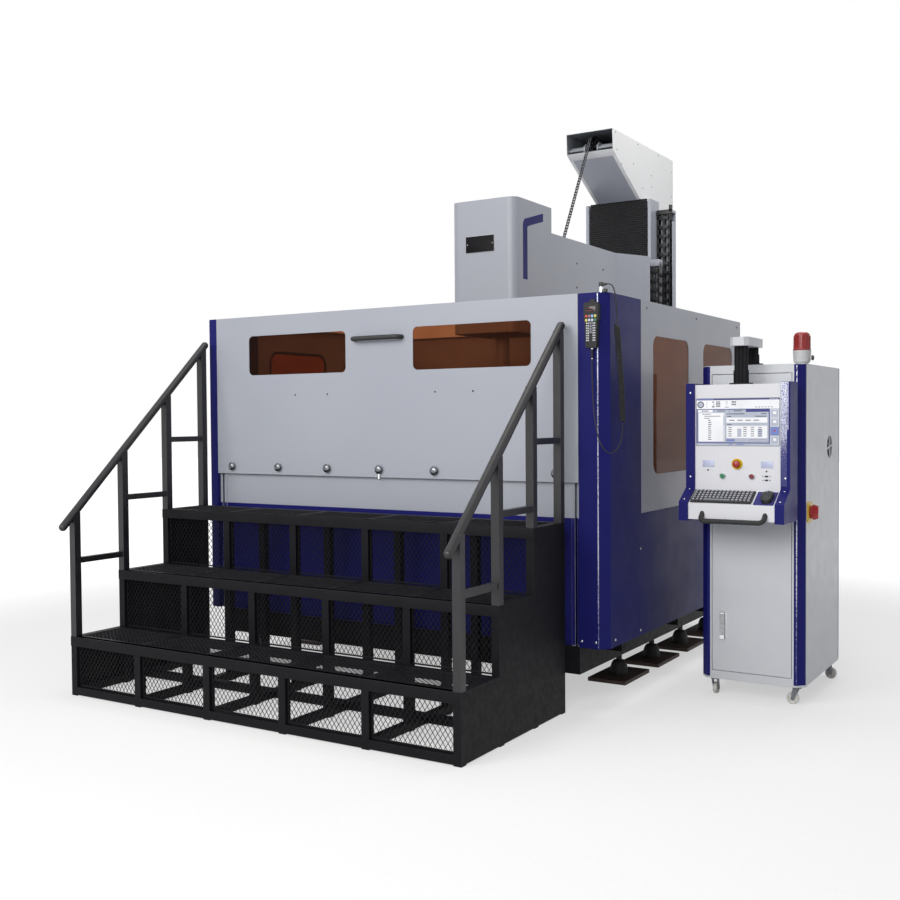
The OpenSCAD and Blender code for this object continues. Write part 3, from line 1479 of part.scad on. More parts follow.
module remote() {
    top_h = 92;
    foot_w2 = rem_w - 18; // width at the lower end
    color("#1d1e20") placed() translate([rem_x, 0, 0]) {
        along(-rem_t, 0) union() {
            translate([0, rem_z + rem_h - top_h / 2]) round_rect(rem_w, top_h, 10);
            polygon([[-foot_w2 / 2, rem_z + 12], [foot_w2 / 2, rem_z + 12],
                [rem_w / 2 - 5, rem_z + rem_h - top_h],
                [rem_w / 2 - 8, rem_z + rem_h - top_h + 10], [8 - rem_w / 2, rem_z + rem_h - top_h + 10],
                [5 - rem_w / 2, rem_z + rem_h - top_h]]);
            translate([0, rem_z + 14]) round_rect(foot_w2, 28, 10);
        }
        translate([0, relief_y, rem_z - relief_l]) cylinder(h = relief_l + 1, r = 6);
        // hook over the pendant's head
        block([-14, 14], [-9, 0], [rem_z + rem_h - tiny, rem_z + rem_h + 16]);
    }
}

// Route of the cord: down from the pendant, up to its curly stretch, then to the socket
cord_low = [[rem_x, relief_y, rem_z - relief_l], [-69, -14, 1710], [-66, -20, 1640], [-56, -32, 1520],
    [-40, -42, 1420], [-20, -46, 1340], [5, -38, 1290], [28, -12, 1275], [42, 25, 1300], [47, 60, 1345],
    [45, 88, 1400], [45, 88, 1420]];
cord_coil = [[45, 88, 1420], [45, 88, 1460], [43, 78, 1600], [39, 62, 1750], [35, 46, 1855], [35, 46, 1895]];
cord_top = [[35, 46, 1895], [35, 46, 1915], [34, 42, 1980], [30, 36, 2040], [18, 31, 2080],
    [-2, 30, socket_z], [socket_at.x + 20, socket_at.y, socket_z]];

function unit(v) = v / norm(v);
// Smooth curve through the points, n steps from one to the next
function curve(p, n) = let (m = len(p) - 1) concat([for (i = [0:m - 1], j = [0:n - 1])
        let (t = j / n, a = i == 0 ? 2 * p[0] - p[1] : p[i - 1],
            d = i == m - 1 ? 2 * p[m] - p[m - 1] : p[i + 2],
            v = (p[i + 1] - a) / 2, w = (d - p[i]) / 2)
        (2 * t * t * t - 3 * t * t + 1) * p[i] + (t * t * t - 2 * t * t + t) * v
            + (3 * t * t - 2 * t * t * t) * p[i + 1] + (t * t * t - t * t) * w], [p[m]]);
// Headings along the curve, then side vectors that turn little
function headings(q, p) = [for (i = [0:len(q) - 1]) i == 0 ? unit(p[1] - p[0])
    : i == len(q) - 1 ? unit(p[len(p) - 1] - p[len(p) - 2]) : unit(q[i + 1] - q[i - 1])];
function sides(t) = [for (i = 0, s = unit(cross(t[0], [0.3, 1, 0.2])); i < len(t); i = i + 1,
    s = i < len(t) ? unit(s - (s * t[i]) * t[i]) : s) s];

// Round tube of radius r with k sides along the points p
module swept(p, n, r, k) {
    q = curve(p, n);
    t = headings(q, p);
    s = sides(t);
    m = len(q);
    polyhedron([for (i = [0:m - 1], j = [0:k - 1])
            q[i] + r * cos(j * 360 / k) * s[i] + r * sin(j * 360 / k) * cross(t[i], s[i])],
        concat([[for (j = [0:k - 1]) j]], [[for (j = [k - 1:-1:0]) (m - 1) * k + j]],
            [for (i = [0:m - 2], j = [0:k - 1])
                [i * k + j, (i + 1) * k + j, (i + 1) * k + (j + 1) % k, i * k + (j + 1) % k]]));
}

module remote_cord() {
    color("#1d1e20") placed() {
        swept(cord_low, 4, cord_d / 2, 8);
        swept(cord_top, 3, cord_d / 2, 8);
    }
}

module remote_coil() {
    color("#1d1e20") placed() swept(cord_coil, 2, coil_d / 2, 12);
}

bed();
foot_plates();
foot_domes();
corner_columns();
skirts();
wall_panels();
side_windows();
apron_panel();
column();
hood();
lift_sprocket();
bellows();
drag_chain();
lift_chain();
upper_arm();
head_cover();
lower_arm();
saddle();
worktable();
drum_carriage();
wire_drum();
front_door();
door_windows();
door_handle();
door_knobs();
stair_frame();
stair_treads();
stair_risers();
handrails();
cabinet_shell();
cabinet_posts();
cabinet_door();
door_latch();
fan_rotor();
switch_plate();
switch_handle();
beacon_base();
beacon_lens();
arm_support();
swing_arm();
console_shell();
console_cheeks();
screen();
keyboard_and_mouse();
hanger();
estop_button();
start_button();
stop_button();
console_handle();
caster_fork_fl();
caster_fork_fr();
caster_fork_rl();
caster_fork_rr();
caster_wheel_fl();
caster_wheel_fr();
caster_wheel_rl();
caster_wheel_rr();
remote();
remote_cord();
remote_coil();
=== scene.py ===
import json
from math import pi, radians

import bpy
import numpy as np
from mathutils import Matrix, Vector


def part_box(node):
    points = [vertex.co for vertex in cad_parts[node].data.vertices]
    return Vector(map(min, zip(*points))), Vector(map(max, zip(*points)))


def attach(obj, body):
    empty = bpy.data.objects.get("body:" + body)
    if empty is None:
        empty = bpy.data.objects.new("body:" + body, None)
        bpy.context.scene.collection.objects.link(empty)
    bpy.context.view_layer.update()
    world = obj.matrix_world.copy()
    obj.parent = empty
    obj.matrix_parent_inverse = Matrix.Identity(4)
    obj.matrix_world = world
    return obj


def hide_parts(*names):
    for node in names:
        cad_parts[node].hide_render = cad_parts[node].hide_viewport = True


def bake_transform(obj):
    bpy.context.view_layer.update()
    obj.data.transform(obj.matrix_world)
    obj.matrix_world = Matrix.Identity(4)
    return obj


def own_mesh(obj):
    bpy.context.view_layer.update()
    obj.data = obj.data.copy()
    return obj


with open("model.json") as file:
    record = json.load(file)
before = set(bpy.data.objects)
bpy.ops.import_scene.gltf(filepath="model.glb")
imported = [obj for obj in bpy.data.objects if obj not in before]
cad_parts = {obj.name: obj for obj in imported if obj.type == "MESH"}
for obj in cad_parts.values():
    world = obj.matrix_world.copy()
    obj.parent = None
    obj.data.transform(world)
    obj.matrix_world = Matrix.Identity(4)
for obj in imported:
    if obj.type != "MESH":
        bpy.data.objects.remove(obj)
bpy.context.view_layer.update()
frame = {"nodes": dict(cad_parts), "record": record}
nodes = frame["nodes"]
columnsLow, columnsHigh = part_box("corner_columns")
home = np.array([columnsHigh[0], columnsLow[1], 0.0])  # that corner, in the frame's metres
toRight, toBack, toTop = (1, 0, 0), (0, 1, 0), (0, 0, 1)
toLeft, toFront, toFloor = (-1, 0, 0), (0, -1, 0), (0, 0, -1)
leastCorner = 0.05  # the smallest corner radius, so that an inset outline never turns inside out
materials = {}


def toFrame(points):
    return home + 0.001 * np.asarray(points, float)


def axesFor(axis):
    # e3 is the axis; e1 lies level wherever it can, and e2 completes a right-handed set
    e3 = np.array(axis, float) / np.linalg.norm(axis)
    helper = np.array([0.0, 0.0, 1.0]) if abs(e3[2]) < 0.95 else np.array([0.0, 1.0, 0.0])
    e1 = np.cross(helper, e3)
    e1 /= np.linalg.norm(e1)
    return e1, np.cross(e3, e1), e3


def gridFaces(count, rows, cols, ring=False):
    # quads between neighbouring rows of points; the last column joins the first, and so do the rows of a ring
    index = np.arange(count * rows * cols).reshape(count, rows, cols)
    below = index if ring else index[:, :-1]
    above = np.roll(index, -1, 1) if ring else index[:, 1:]
    quads = np.stack([below, np.roll(below, -1, 2), np.roll(above, -1, 2), above], -1)
    caps = [] if ring else [index[:, 0, ::-1], index[:, -1]]
    return [quads.reshape(-1, 4)] + caps


def unit(vectors):
    return vectors / np.linalg.norm(vectors, axis=-1, keepdims=True)


def sideways(along, up):
    # for each unit vector along: one square to it and to up, and one square to both
    side = unit(np.cross(along, np.broadcast_to(np.asarray(up, float), along.shape)))
    return side, np.cross(side, along)


def angles(count):
    return np.arange(count) * 2 * pi / count


def cells(cols, rows):
    # column and row of each cell of a grid, row by row
    return (v.ravel() for v in np.meshgrid(np.arange(cols), np.arange(rows)))


def turned(profile, centres, axis, sides, ring=False):
    # surface of revolution: point = centre + height * axis + radius * (cos t * e1 + sin t * e2)
    e1, e2, e3 = axesFor(axis)
    profile = np.asarray(profile, float)
    centres = np.atleast_2d(np.asarray(centres, float))
    t = angles(sides)
    circle = np.cos(t)[:, None] * e1 + np.sin(t)[:, None] * e2
    points = profile[:, 0][:, None, None] * e3 + profile[:, 1][:, None, None] * circle[None]
    points = centres[:, None, None] + points[None]
    return points.reshape(-1, 3), gridFaces(len(centres), len(profile), sides, ring)


def roundedOutline(width, height, corner, steps):
    # rectangle with round corners: corner centre + corner radius * (cos t, sin t), a quarter turn each
    t = (np.linspace(0, 1, steps)[None] + np.arange(4)[:, None]) * pi / 2
    signX = np.array([1, -1, -1, 1])[:, None]
    signY = np.array([1, 1, -1, -1])[:, None]
    w, h, r = (np.asarray(v, float)[..., None, None] for v in (width, height, corner))
    x = signX * (w / 2 - r) + r * np.cos(t)
    y = signY * (h / 2 - r) + r * np.sin(t)
    return x.reshape(*x.shape[:-2], -1), y.reshape(*y.shape[:-2], -1)


def slabs(centres, width, height, corner, rows, axis, ring=False, steps=4):
    # stacked rounded rectangles: each row is (inset from the outline, height along the axis)
    e1, e2, e3 = axesFor(axis)
    centres = np.atleast_2d(np.asarray(centres, float))
    width = np.broadcast_to(np.asarray(width, float), len(centres))
    height = np.broadcast_to(np.asarray(height, float), len(centres))
    inset, lift = np.asarray(rows, float).T
    x, y = roundedOutline(width[:, None] - 2 * inset, height[:, None] - 2 * inset,
                          np.maximum(corner - inset, leastCorner)[None] + 0 * width[:, None], steps)
    points = x[..., None] * e1 + y[..., None] * e2 + lift[None, :, None, None] * e3
    points = centres[:, None, None] + points
    return points.reshape(-1, 3), gridFaces(len(centres), len(inset), x.shape[-1], ring)


def softRows(depth, edge):
    # rows for slabs: straight sides with quarter-round edges at the far end
    t = np.linspace(0, pi / 2, 3)
    return np.vstack([[(0, 0)], np.stack([edge * (1 - np.cos(t)), depth - edge + edge * np.sin(t)], -1)])


def bars(starts, ends, width, thick, up):
    # straight flat bars: four corners at each end, thick along up, wide across it
    starts, ends = (np.atleast_2d(np.asarray(v, float)) for v in (starts, ends))
    side, over = sideways(unit(ends - starts), up)
    corners = np.array([[1, 1], [-1, 1], [-1, -1], [1, -1]]) * 0.5
    ring = corners[:, :1] * width * side[:, None] - corners[:, 1:] * thick * over[:, None]
    points = np.stack([starts[:, None] + ring, ends[:, None] + ring], 1)
    return points.reshape(-1, 3), gridFaces(len(starts), 2, 4)


def carried(outline, path, up):
    # outline carried along a path: point = path + outline x * side + outline y * over, square to the path
    path, outline = np.asarray(path, float), np.asarray(outline, float)
    side, over = sideways(unit(np.gradient(path, axis=0)), up)
    points = path[:, None] + outline[None, :, :1] * side[:, None] - outline[None, :, 1:] * over[:, None]
    return points.reshape(-1, 3), gridFaces(1, len(path), len(outline))


def roundOutline(radius, sides):
    t = angles(sides)
    return np.stack([radius * np.cos(t), radius * np.sin(t)], -1)


def stadium(length, width):
    # straight sides with half-round ends, length between the ends' centres, along the second coordinate
    t = np.linspace(0, pi, 6)
    top = np.stack([np.cos(t), np.sin(t)], -1) * width / 2 + (0, length / 2)
    return np.vstack([top, -top])


def extruded(outline, origin, e1, e2, depth):
    # flat outline pushed along e1 x e2 by depth
    e1, e2 = np.asarray(e1, float), np.asarray(e2, float)
    flat = np.asarray(origin, float) + outline[:, :1] * e1 + outline[:, 1:] * e2
    points = np.stack([flat, flat + np.cross(e1, e2) * depth])
    return points.reshape(-1, 3), gridFaces(1, 2, len(outline))


def boxes(lows, highs):
    # flat marks and tiny blocks between their low and high corners
    lows, highs = (np.atleast_2d(np.asarray(v, float)) for v in (lows, highs))
    ring = np.array([[0, 0], [1, 0], [1, 1], [0, 1]])
    pick = np.vstack([np.column_stack([ring, np.full(4, z)]) for z in (0, 1)])
    points = lows[:, None] + (highs - lows)[:, None] * pick
    return points.reshape(-1, 3), gridFaces(len(lows), 2, 4)


def copies(shape, origins, e1, e2, e3):
    # one local shape set down at many places: point = origin + x * e1 + y * e2 + z * e3
    points, faces = shape
    origins = np.atleast_2d(np.asarray(origins, float))
    axes = [np.broadcast_to(np.asarray(e, float), origins.shape) for e in (e1, e2, e3)]
    spread = sum(points[None, :, i:i + 1] * axes[i][:, None] for i in range(3)) + origins[:, None]
    base = np.arange(len(origins)) * len(points)
    return spread.reshape(-1, 3), [(f[None] + base[:, None, None]).reshape(-1, f.shape[1]) for f in faces]


def joined(*shapes):
    # several shapes as one
    base = np.concatenate([[0], np.cumsum([len(points) for points, faces in shapes])])
    return (np.vstack([points for points, faces in shapes]),
            [f + base[i] for i, shape in enumerate(shapes) for f in shape[1]])


def screwHeads(places, axis, radius, height):
    # low domed heads with a socket: point = height and radius along a short profile
    r, h = radius, height
    return turned([(0, r), (0.5 * h, r), (0.85 * h, 0.8 * r), (h, 0.5 * r), (h, 0.38 * r), (0.4 * h, 0.34 * r)],
                  places, axis, 14)


def addObject(name, data):
    thing = bpy.data.objects.new(name, data)
    bpy.context.scene.collection.objects.link(thing)
    return thing


def putMesh(name, shapes, looks, body="machine", stands=(), angle=35):
    # shapes are (points, faces) or (points, faces, number of the look); they become one piece in the slot of
    # its first look, and it stands in for the nodes in stands
    mesh = bpy.data.meshes.new(name)
    looks = [looks] if isinstance(looks, str) else looks
    points, corners, lengths, slots, base = [], [], [], [], 0
    for shape in shapes:
        points.append(toFrame(shape[0]))
        for faces in shape[1]:
            corners.append((faces + base).ravel())
            lengths.append(np.full(len(faces), faces.shape[1]))
            slots.append(np.full(len(faces), shape[2] if len(shape) > 2 else 0))
        base += len(shape[0])
    points, corners, lengths, slots = (np.concatenate(v) for v in (points, corners, lengths, slots))
    starts = np.concatenate([[0], np.cumsum(lengths)[:-1]])
    mesh.vertices.add(len(points))
    mesh.vertices.foreach_set("co", points.astype(np.float32).ravel())
    mesh.loops.add(len(corners))
    mesh.loops.foreach_set("vertex_index", corners.astype(np.int32))
    mesh.polygons.add(len(lengths))
    mesh.polygons.foreach_set("loop_start", starts.astype(np.int32))
    mesh.polygons.foreach_set("material_index", slots.astype(np.int32))
    for look in looks:
        mesh.materials.append(materials[look])
    mesh.update(calc_edges=True)
    mesh.validate()
    mesh.shade_smooth()
    mesh.set_sharp_from_angle(angle=radians(angle))
    piece = addObject(name, mesh)
    if body:
        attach(piece, body)
    if stands:
        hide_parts(*stands)
    return piece


view = {"eye": (2143, -4910, 1450), "yaw": 31.68, "pitch": -1.68, "roll": -0.41, "lens": 44.06, "sensor": 36,
        "reach": 200}


def placeCamera():
    camera = addObject("camera", bpy.data.cameras.new("camera"))
    camera.data.lens = view["lens"]
    camera.data.sensor_width = view["sensor"]
    camera.data.clip_end = view["reach"]
    turn = Matrix.Rotation(radians(view["yaw"]), 4, "Z") @ Matrix.Rotation(radians(90 + view["pitch"]), 4, "X")
    level = Matrix.Translation(toFrame(view["eye"])) @ turn
    camera.matrix_world = level @ Matrix.Rotation(radians(view["roll"]), 4, "Z")
    bpy.context.scene.camera = camera


placeCamera()
cord = {"diameter": 6, "coilDiameter": 32, "coilPitch": 8.2, "opens": 30, "opening": 20, "openPitch": 44,
        "spread": 40, "perTurn": 14, "socket": (-20, 30, 2090),
        "low": [(-69, -14, 1732), (-69, -14, 1710), (-66, -20, 1640), (-56, -32, 1520), (-40, -42, 1420),
                (-20, -46, 1340), (5, -38, 1290), (28, -12, 1275), (42, 25, 1293), (47, 60, 1325), (45, 86, 1368),
                (45, 88, 1390)],
        "coil": [(45, 88, 1390), (45, 88, 1430), (43, 78, 1600), (39, 62, 1750), (35, 46, 1888), (35, 46, 1928)],
        "top": [(35, 46, 1928), (35, 46, 1945), (34, 42, 1990), (30, 36, 2042), (18, 31, 2080), (-2, 30, 2090)]}


def smoothCurve(points, steps):
    # Catmull-Rom curve: steps points from each given point to the next, as whole arrays
    p = np.asarray(points, float)
    p = np.vstack([2 * p[0] - p[1], p, 2 * p[-1] - p[-2]])
    t = (np.arange(steps) / steps)[None, :, None]
    a, b, c, d = (p[i:len(p) - 3 + i][:, None] for i in range(4))
    v, w = (c - a) / 2, (d - b) / 2
    body = (2 * t**3 - 3 * t**2 + 1) * b + (t**3 - 2 * t**2 + t) * v + (3 * t**2 - 2 * t**3) * c + (t**3 - t**2) * w
    return np.vstack([body.reshape(-1, 3), p[-2]])


def pathLength(points):
    return float(np.linalg.norm(np.diff(points, axis=0), axis=1).sum())


def makeCord():
    # two plain stretches and a helix between them: helix point = centre line + radius * (cos a * side + sin a * over)
    low, top = smoothCurve(cord["low"], 4), smoothCurve(cord["top"] + [cord["socket"]], 3)
    axis = smoothCurve(cord["coil"], 60)
    along = unit(np.gradient(axis, axis=0))
    side = unit(np.cross(along, (0.3, 1.0, 0.2)))
    over = np.cross(along, side)
    run = np.concatenate([[0], np.cumsum(np.linalg.norm(np.diff(axis, axis=0), axis=1))])
    # at both ends the coil opens over a long slow turn, so that the cord never bends tighter than two diameters
    parts = 4000
    dense = np.linspace(0, 1, parts + 1)
    reach = np.minimum(dense, 1 - dense) * run[-1]
    close = np.clip((reach - cord["opens"]) / cord["opening"], 0, 1)
    close = close * close * (3 - 2 * close)
    rate = 2 * pi * (close / cord["coilPitch"] + (1 - close) / cord["openPitch"])
    phase = np.concatenate([[0], np.cumsum((rate[1:] + rate[:-1]) / 2)]) * run[-1] / parts
    turn = np.linspace(0, phase[-1], int(phase[-1] / (2 * pi) * cord["perTurn"]) + 1)
    s = np.interp(turn, phase, dense)
    centre, side, over = (np.stack([np.interp(s * run[-1], run, line[:, i]) for i in range(3)], -1)
                          for line in (axis, side, over))
    # the radius grows from nothing at each end of the coil
    grow = np.clip(np.minimum(s, 1 - s) * run[-1] / cord["spread"], 0, 1)[:, None]
    radius = (cord["coilDiameter"] - cord["diameter"]) / 2 * grow * grow * (3 - 2 * grow)
    helix = centre + radius * (np.cos(turn)[:, None] * side + np.sin(turn)[:, None] * over)
    line = np.vstack([low, helix[1:-1], top])
    curve = bpy.data.curves.new("remoteCord", "CURVE")
    curve.dimensions = "3D"
    curve.bevel_depth = cord["diameter"] / 2000
    curve.bevel_resolution = 2
    curve.use_fill_caps = True
    spline = curve.splines.new("POLY")
    spline.points.add(len(line) - 1)
    spline.points.foreach_set("co", np.hstack([toFrame(line), np.ones((len(line), 1))]).ravel())
    curve.materials.append(materials["mattRubber"])
    piece = addObject("remoteCord", curve)
    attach(piece, "machine")
    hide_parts("remote_cord", "remote_coil")
    print("cord made, metres:", round(pathLength(toFrame(line)), 3))


def linear(hexColour):
    # sRGB hex to linear light
    value = np.array([int(hexColour[i:i + 2], 16) for i in (1, 3, 5)]) / 255
    low = value / 12.92
    high = ((value + 0.055) / 1.055) ** 2.4
    return (*np.where(value <= 0.04045, low, high).tolist(), 1.0)


def fill(tree, node, sockets):
    # each socket takes a value, or a link from another node's output
    for name, value in sockets.items():
        if isinstance(value, bpy.types.NodeSocket):
            tree.links.new(value, node.inputs[name])
        else:
            node.inputs[name].default_value = value
    return node


def emptyTree(holder):
    holder.use_nodes = True
    holder.node_tree.nodes.clear()
    return holder.node_tree


def addNode(tree, kind, sockets=None, **settings):
    node = tree.nodes.new(kind)
    for name, value in settings.items():
        setattr(node, name, value)
    return fill(tree, node, sockets or {})


def sums(tree, operation, first, second):
    return addNode(tree, "ShaderNodeMath", {0: first, 1: second}, operation=operation).outputs[0]


def mixed(tree, share, first, second):
    # the first colour, and the second as far as share goes
    return addNode(tree, "ShaderNodeMix", {0: share, 6: first, 7: second}, data_type="RGBA").outputs[2]


def mapped(tree, value, low, high, lowest, highest, curve="LINEAR"):
    # low to high becomes lowest to highest, and stays there beyond them
    return addNode(tree, "ShaderNodeMapRange", {0: value, 1: low, 2: high, 3: lowest, 4: highest},
                   interpolation_type=curve).outputs[0]


def seenDirectly(tree):
    # 1 for what the camera, a reflection or glass shows, 0 for light that falls on the object
    path = addNode(tree, "ShaderNodeLightPath").outputs
    shiny = sums(tree, "MAXIMUM", path["Is Glossy Ray"], path["Is Transmission Ray"])
    return sums(tree, "MAXIMUM", path["Is Camera Ray"], shiny)


white = (1, 1, 1, 1)
light = {"world": 0.35, "sky": "#f4f6fa", "lampColour": (1.0, 0.985, 0.965)}
floor = {"glow": 0.5, "paper": ("#b4b4b4", "#bbbbbb"), "tooth": 40.0, "middle": (-1000, 400, 0),
         "fade": (3.2, 7.0), "size": 60000, "corner": 9000, "thick": 2}
lamps = {  # size in metres, place and aim in mm, power in watts
    "keyLamp": {"at": (-3200, -7200, 5200), "aim": (-1000, 600, 1100), "size": 4.5, "power": 312},
    "fillLamp": {"at": (1200, -7200, 3800), "aim": (500, 600, 1200), "size": 3.2, "power": 207},
    "hoodLamp": {"at": (600, 2900, 4900), "aim": (-1150, 3300, 3300), "size": 1.2, "power": 27},
    "topLamp": {"at": (-1000, 1200, 8200), "aim": (-1000, 1200, 0), "size": 5.0, "power": 190},
}


def makeStudio():
    scene = bpy.context.scene
    scene.view_settings.view_transform = "Standard"
    scene.world = bpy.data.worlds.new("studio")
    tree = emptyTree(scene.world)
    soft = addNode(tree, "ShaderNodeBackground", {"Color": linear(light["sky"]), "Strength": light["world"]})
    bright = addNode(tree, "ShaderNodeBackground", {"Color": white, "Strength": 1.0})
    sky = addNode(tree, "ShaderNodeMixShader", {0: seenDirectly(tree), 1: soft.outputs[0], 2: bright.outputs[0]})
    addNode(tree, "ShaderNodeOutputWorld", {"Surface": sky.outputs[0]})

    # matt white paper: soft shadows, no shine
    materials["paperFloor"] = bpy.data.materials.new("matPaperFloor")
    tree = emptyTree(materials["paperFloor"])
    place = addNode(tree, "ShaderNodeTexCoord").outputs["Object"]
    tooth = addNode(tree, "ShaderNodeTexNoise", {"Vector": place, "Scale": floor["tooth"], "Detail": 3.0}).outputs[0]
    matt = addNode(tree, "ShaderNodeBsdfDiffuse", {"Color": mixed(tree, tooth, *map(linear, floor["paper"]))})
    # far from the object the paper turns to the same white as the backdrop, so no horizon shows
    centred = addNode(tree, "ShaderNodeMapping", {"Vector": place, "Location": tuple(-toFrame(floor["middle"]))})
    away = addNode(tree, "ShaderNodeVectorMath", {0: centred.outputs[0]}, operation="LENGTH").outputs["Value"]
    fade = mapped(tree, away, *floor["fade"], floor["glow"], 1.0, "SMOOTHSTEP")
    strength = sums(tree, "MULTIPLY", fade, seenDirectly(tree))
    glow = addNode(tree, "ShaderNodeEmission", {"Color": white, "Strength": strength})
    both = addNode(tree, "ShaderNodeAddShader", {0: matt.outputs[0], 1: glow.outputs[0]})
    addNode(tree, "ShaderNodeOutputMaterial", {"Surface": both.outputs[0]})
    sheet = slabs((0, 0, -floor["thick"]), floor["size"], floor["size"], floor["corner"],
                  [(0, 0), (0, floor["thick"])], toTop, steps=12)
    putMesh("floor", [sheet], "paperFloor", None)

    for name, lamp in lamps.items():
        data = bpy.data.lights.new(name, "AREA")
        data.size = lamp["size"]
        data.energy = lamp["power"]
        data.color = light["lampColour"]
        holder = addObject(name, data)
        turn = np.eye(4)
        turn[:3, :3] = np.stack(axesFor(np.subtract(lamp["at"], lamp["aim"])), 1)
        turn[:3, 3] = toFrame(lamp["at"])
        holder.matrix_world = Matrix(turn.tolist())
        holder.visible_camera = False
    print("studio made")


def newMaterial(name):
    # a Principled surface with nothing set; returns the material, its tree, the surface and Object coordinates
    material = bpy.data.materials.new("mat" + name[0].upper() + name[1:])
    tree = emptyTree(material)
    surface = addNode(tree, "ShaderNodeBsdfPrincipled")
    addNode(tree, "ShaderNodeOutputMaterial", {"Surface": surface.outputs[0]})
    return material, tree, surface, addNode(tree, "ShaderNodeTexCoord").outputs["Object"]


def toneNoise(tree, place, size, low, high, detail=3.0, stretch=(1, 1, 1)):
    # soft noise with spots of size mm; its middle third is spread over low to high
    held = addNode(tree, "ShaderNodeMapping", {"Vector": place, "Scale": stretch})
    noise = addNode(tree, "ShaderNodeTexNoise",
                    {"Vector": held.outputs[0], "Scale": 1000 / size, "Detail": detail, "Roughness": 0.55})
    return mapped(tree, noise.outputs[0], 0.33, 0.67, low, high)


def bumped(tree, height, distance, strength=1.0, **more):
    # surface normal raised by height, distance in mm at its full value
    return addNode(tree, "ShaderNodeBump", {"Strength": strength, "Distance": distance / 1000, "Height": height,
                                            **more}).outputs[0]


edgeWearAndHighlight = {"radius": 0.0025, "flat": 0.995, "edge": 0.9}  # metres; cosines of the turn where the lighter edge begins and is full, partly wear and partly a painted highlight


def finish(name, tones, smooth, rough, patch, grain, depth, edge=0.0, sockets=None, stretch=(1, 1, 1)):
    # two tones in patches of patch mm, roughness from smooth to rough, and a grain of grain mm that stands
    # depth mm high; edge is how far the paint of an edge leans to the lighter third tone, partly wear and partly a
    # painted highlight
    material, tree, surface, place = newMaterial(name)
    tones = [linear(tone) for tone in tones.split()]
    colour = mixed(tree, toneNoise(tree, place, patch, 0, 1, 4.0, stretch), *tones[:2])
    fine = toneNoise(tree, place, grain, 0, 1, 2.0, stretch)
    more = {}
    if edge:
        # edges lean to the lighter third tone: partly wear, partly a painted highlight along edges
        rounded = addNode(tree, "ShaderNodeBevel", {"Radius": edgeWearAndHighlight["radius"]}, samples=4).outputs[0]
        flat = addNode(tree, "ShaderNodeNewGeometry").outputs["Normal"]
        facing = addNode(tree, "ShaderNodeVectorMath", {0: rounded, 1: flat}, operation="DOT_PRODUCT")
        edgeWornAndLit = mapped(tree, facing.outputs["Value"], edgeWearAndHighlight["flat"], edgeWearAndHighlight["edge"], 0, edge)
        colour = mixed(tree, edgeWornAndLit, colour, tones[2])
        more["Normal"] = rounded
    fill(tree, surface, {"Base Color": colour, "Normal": bumped(tree, fine, depth, **more),
                         "Roughness": toneNoise(tree, place, patch / 3, smooth, rough, 3.0, stretch),
                         **(sockets or {})})
    return material


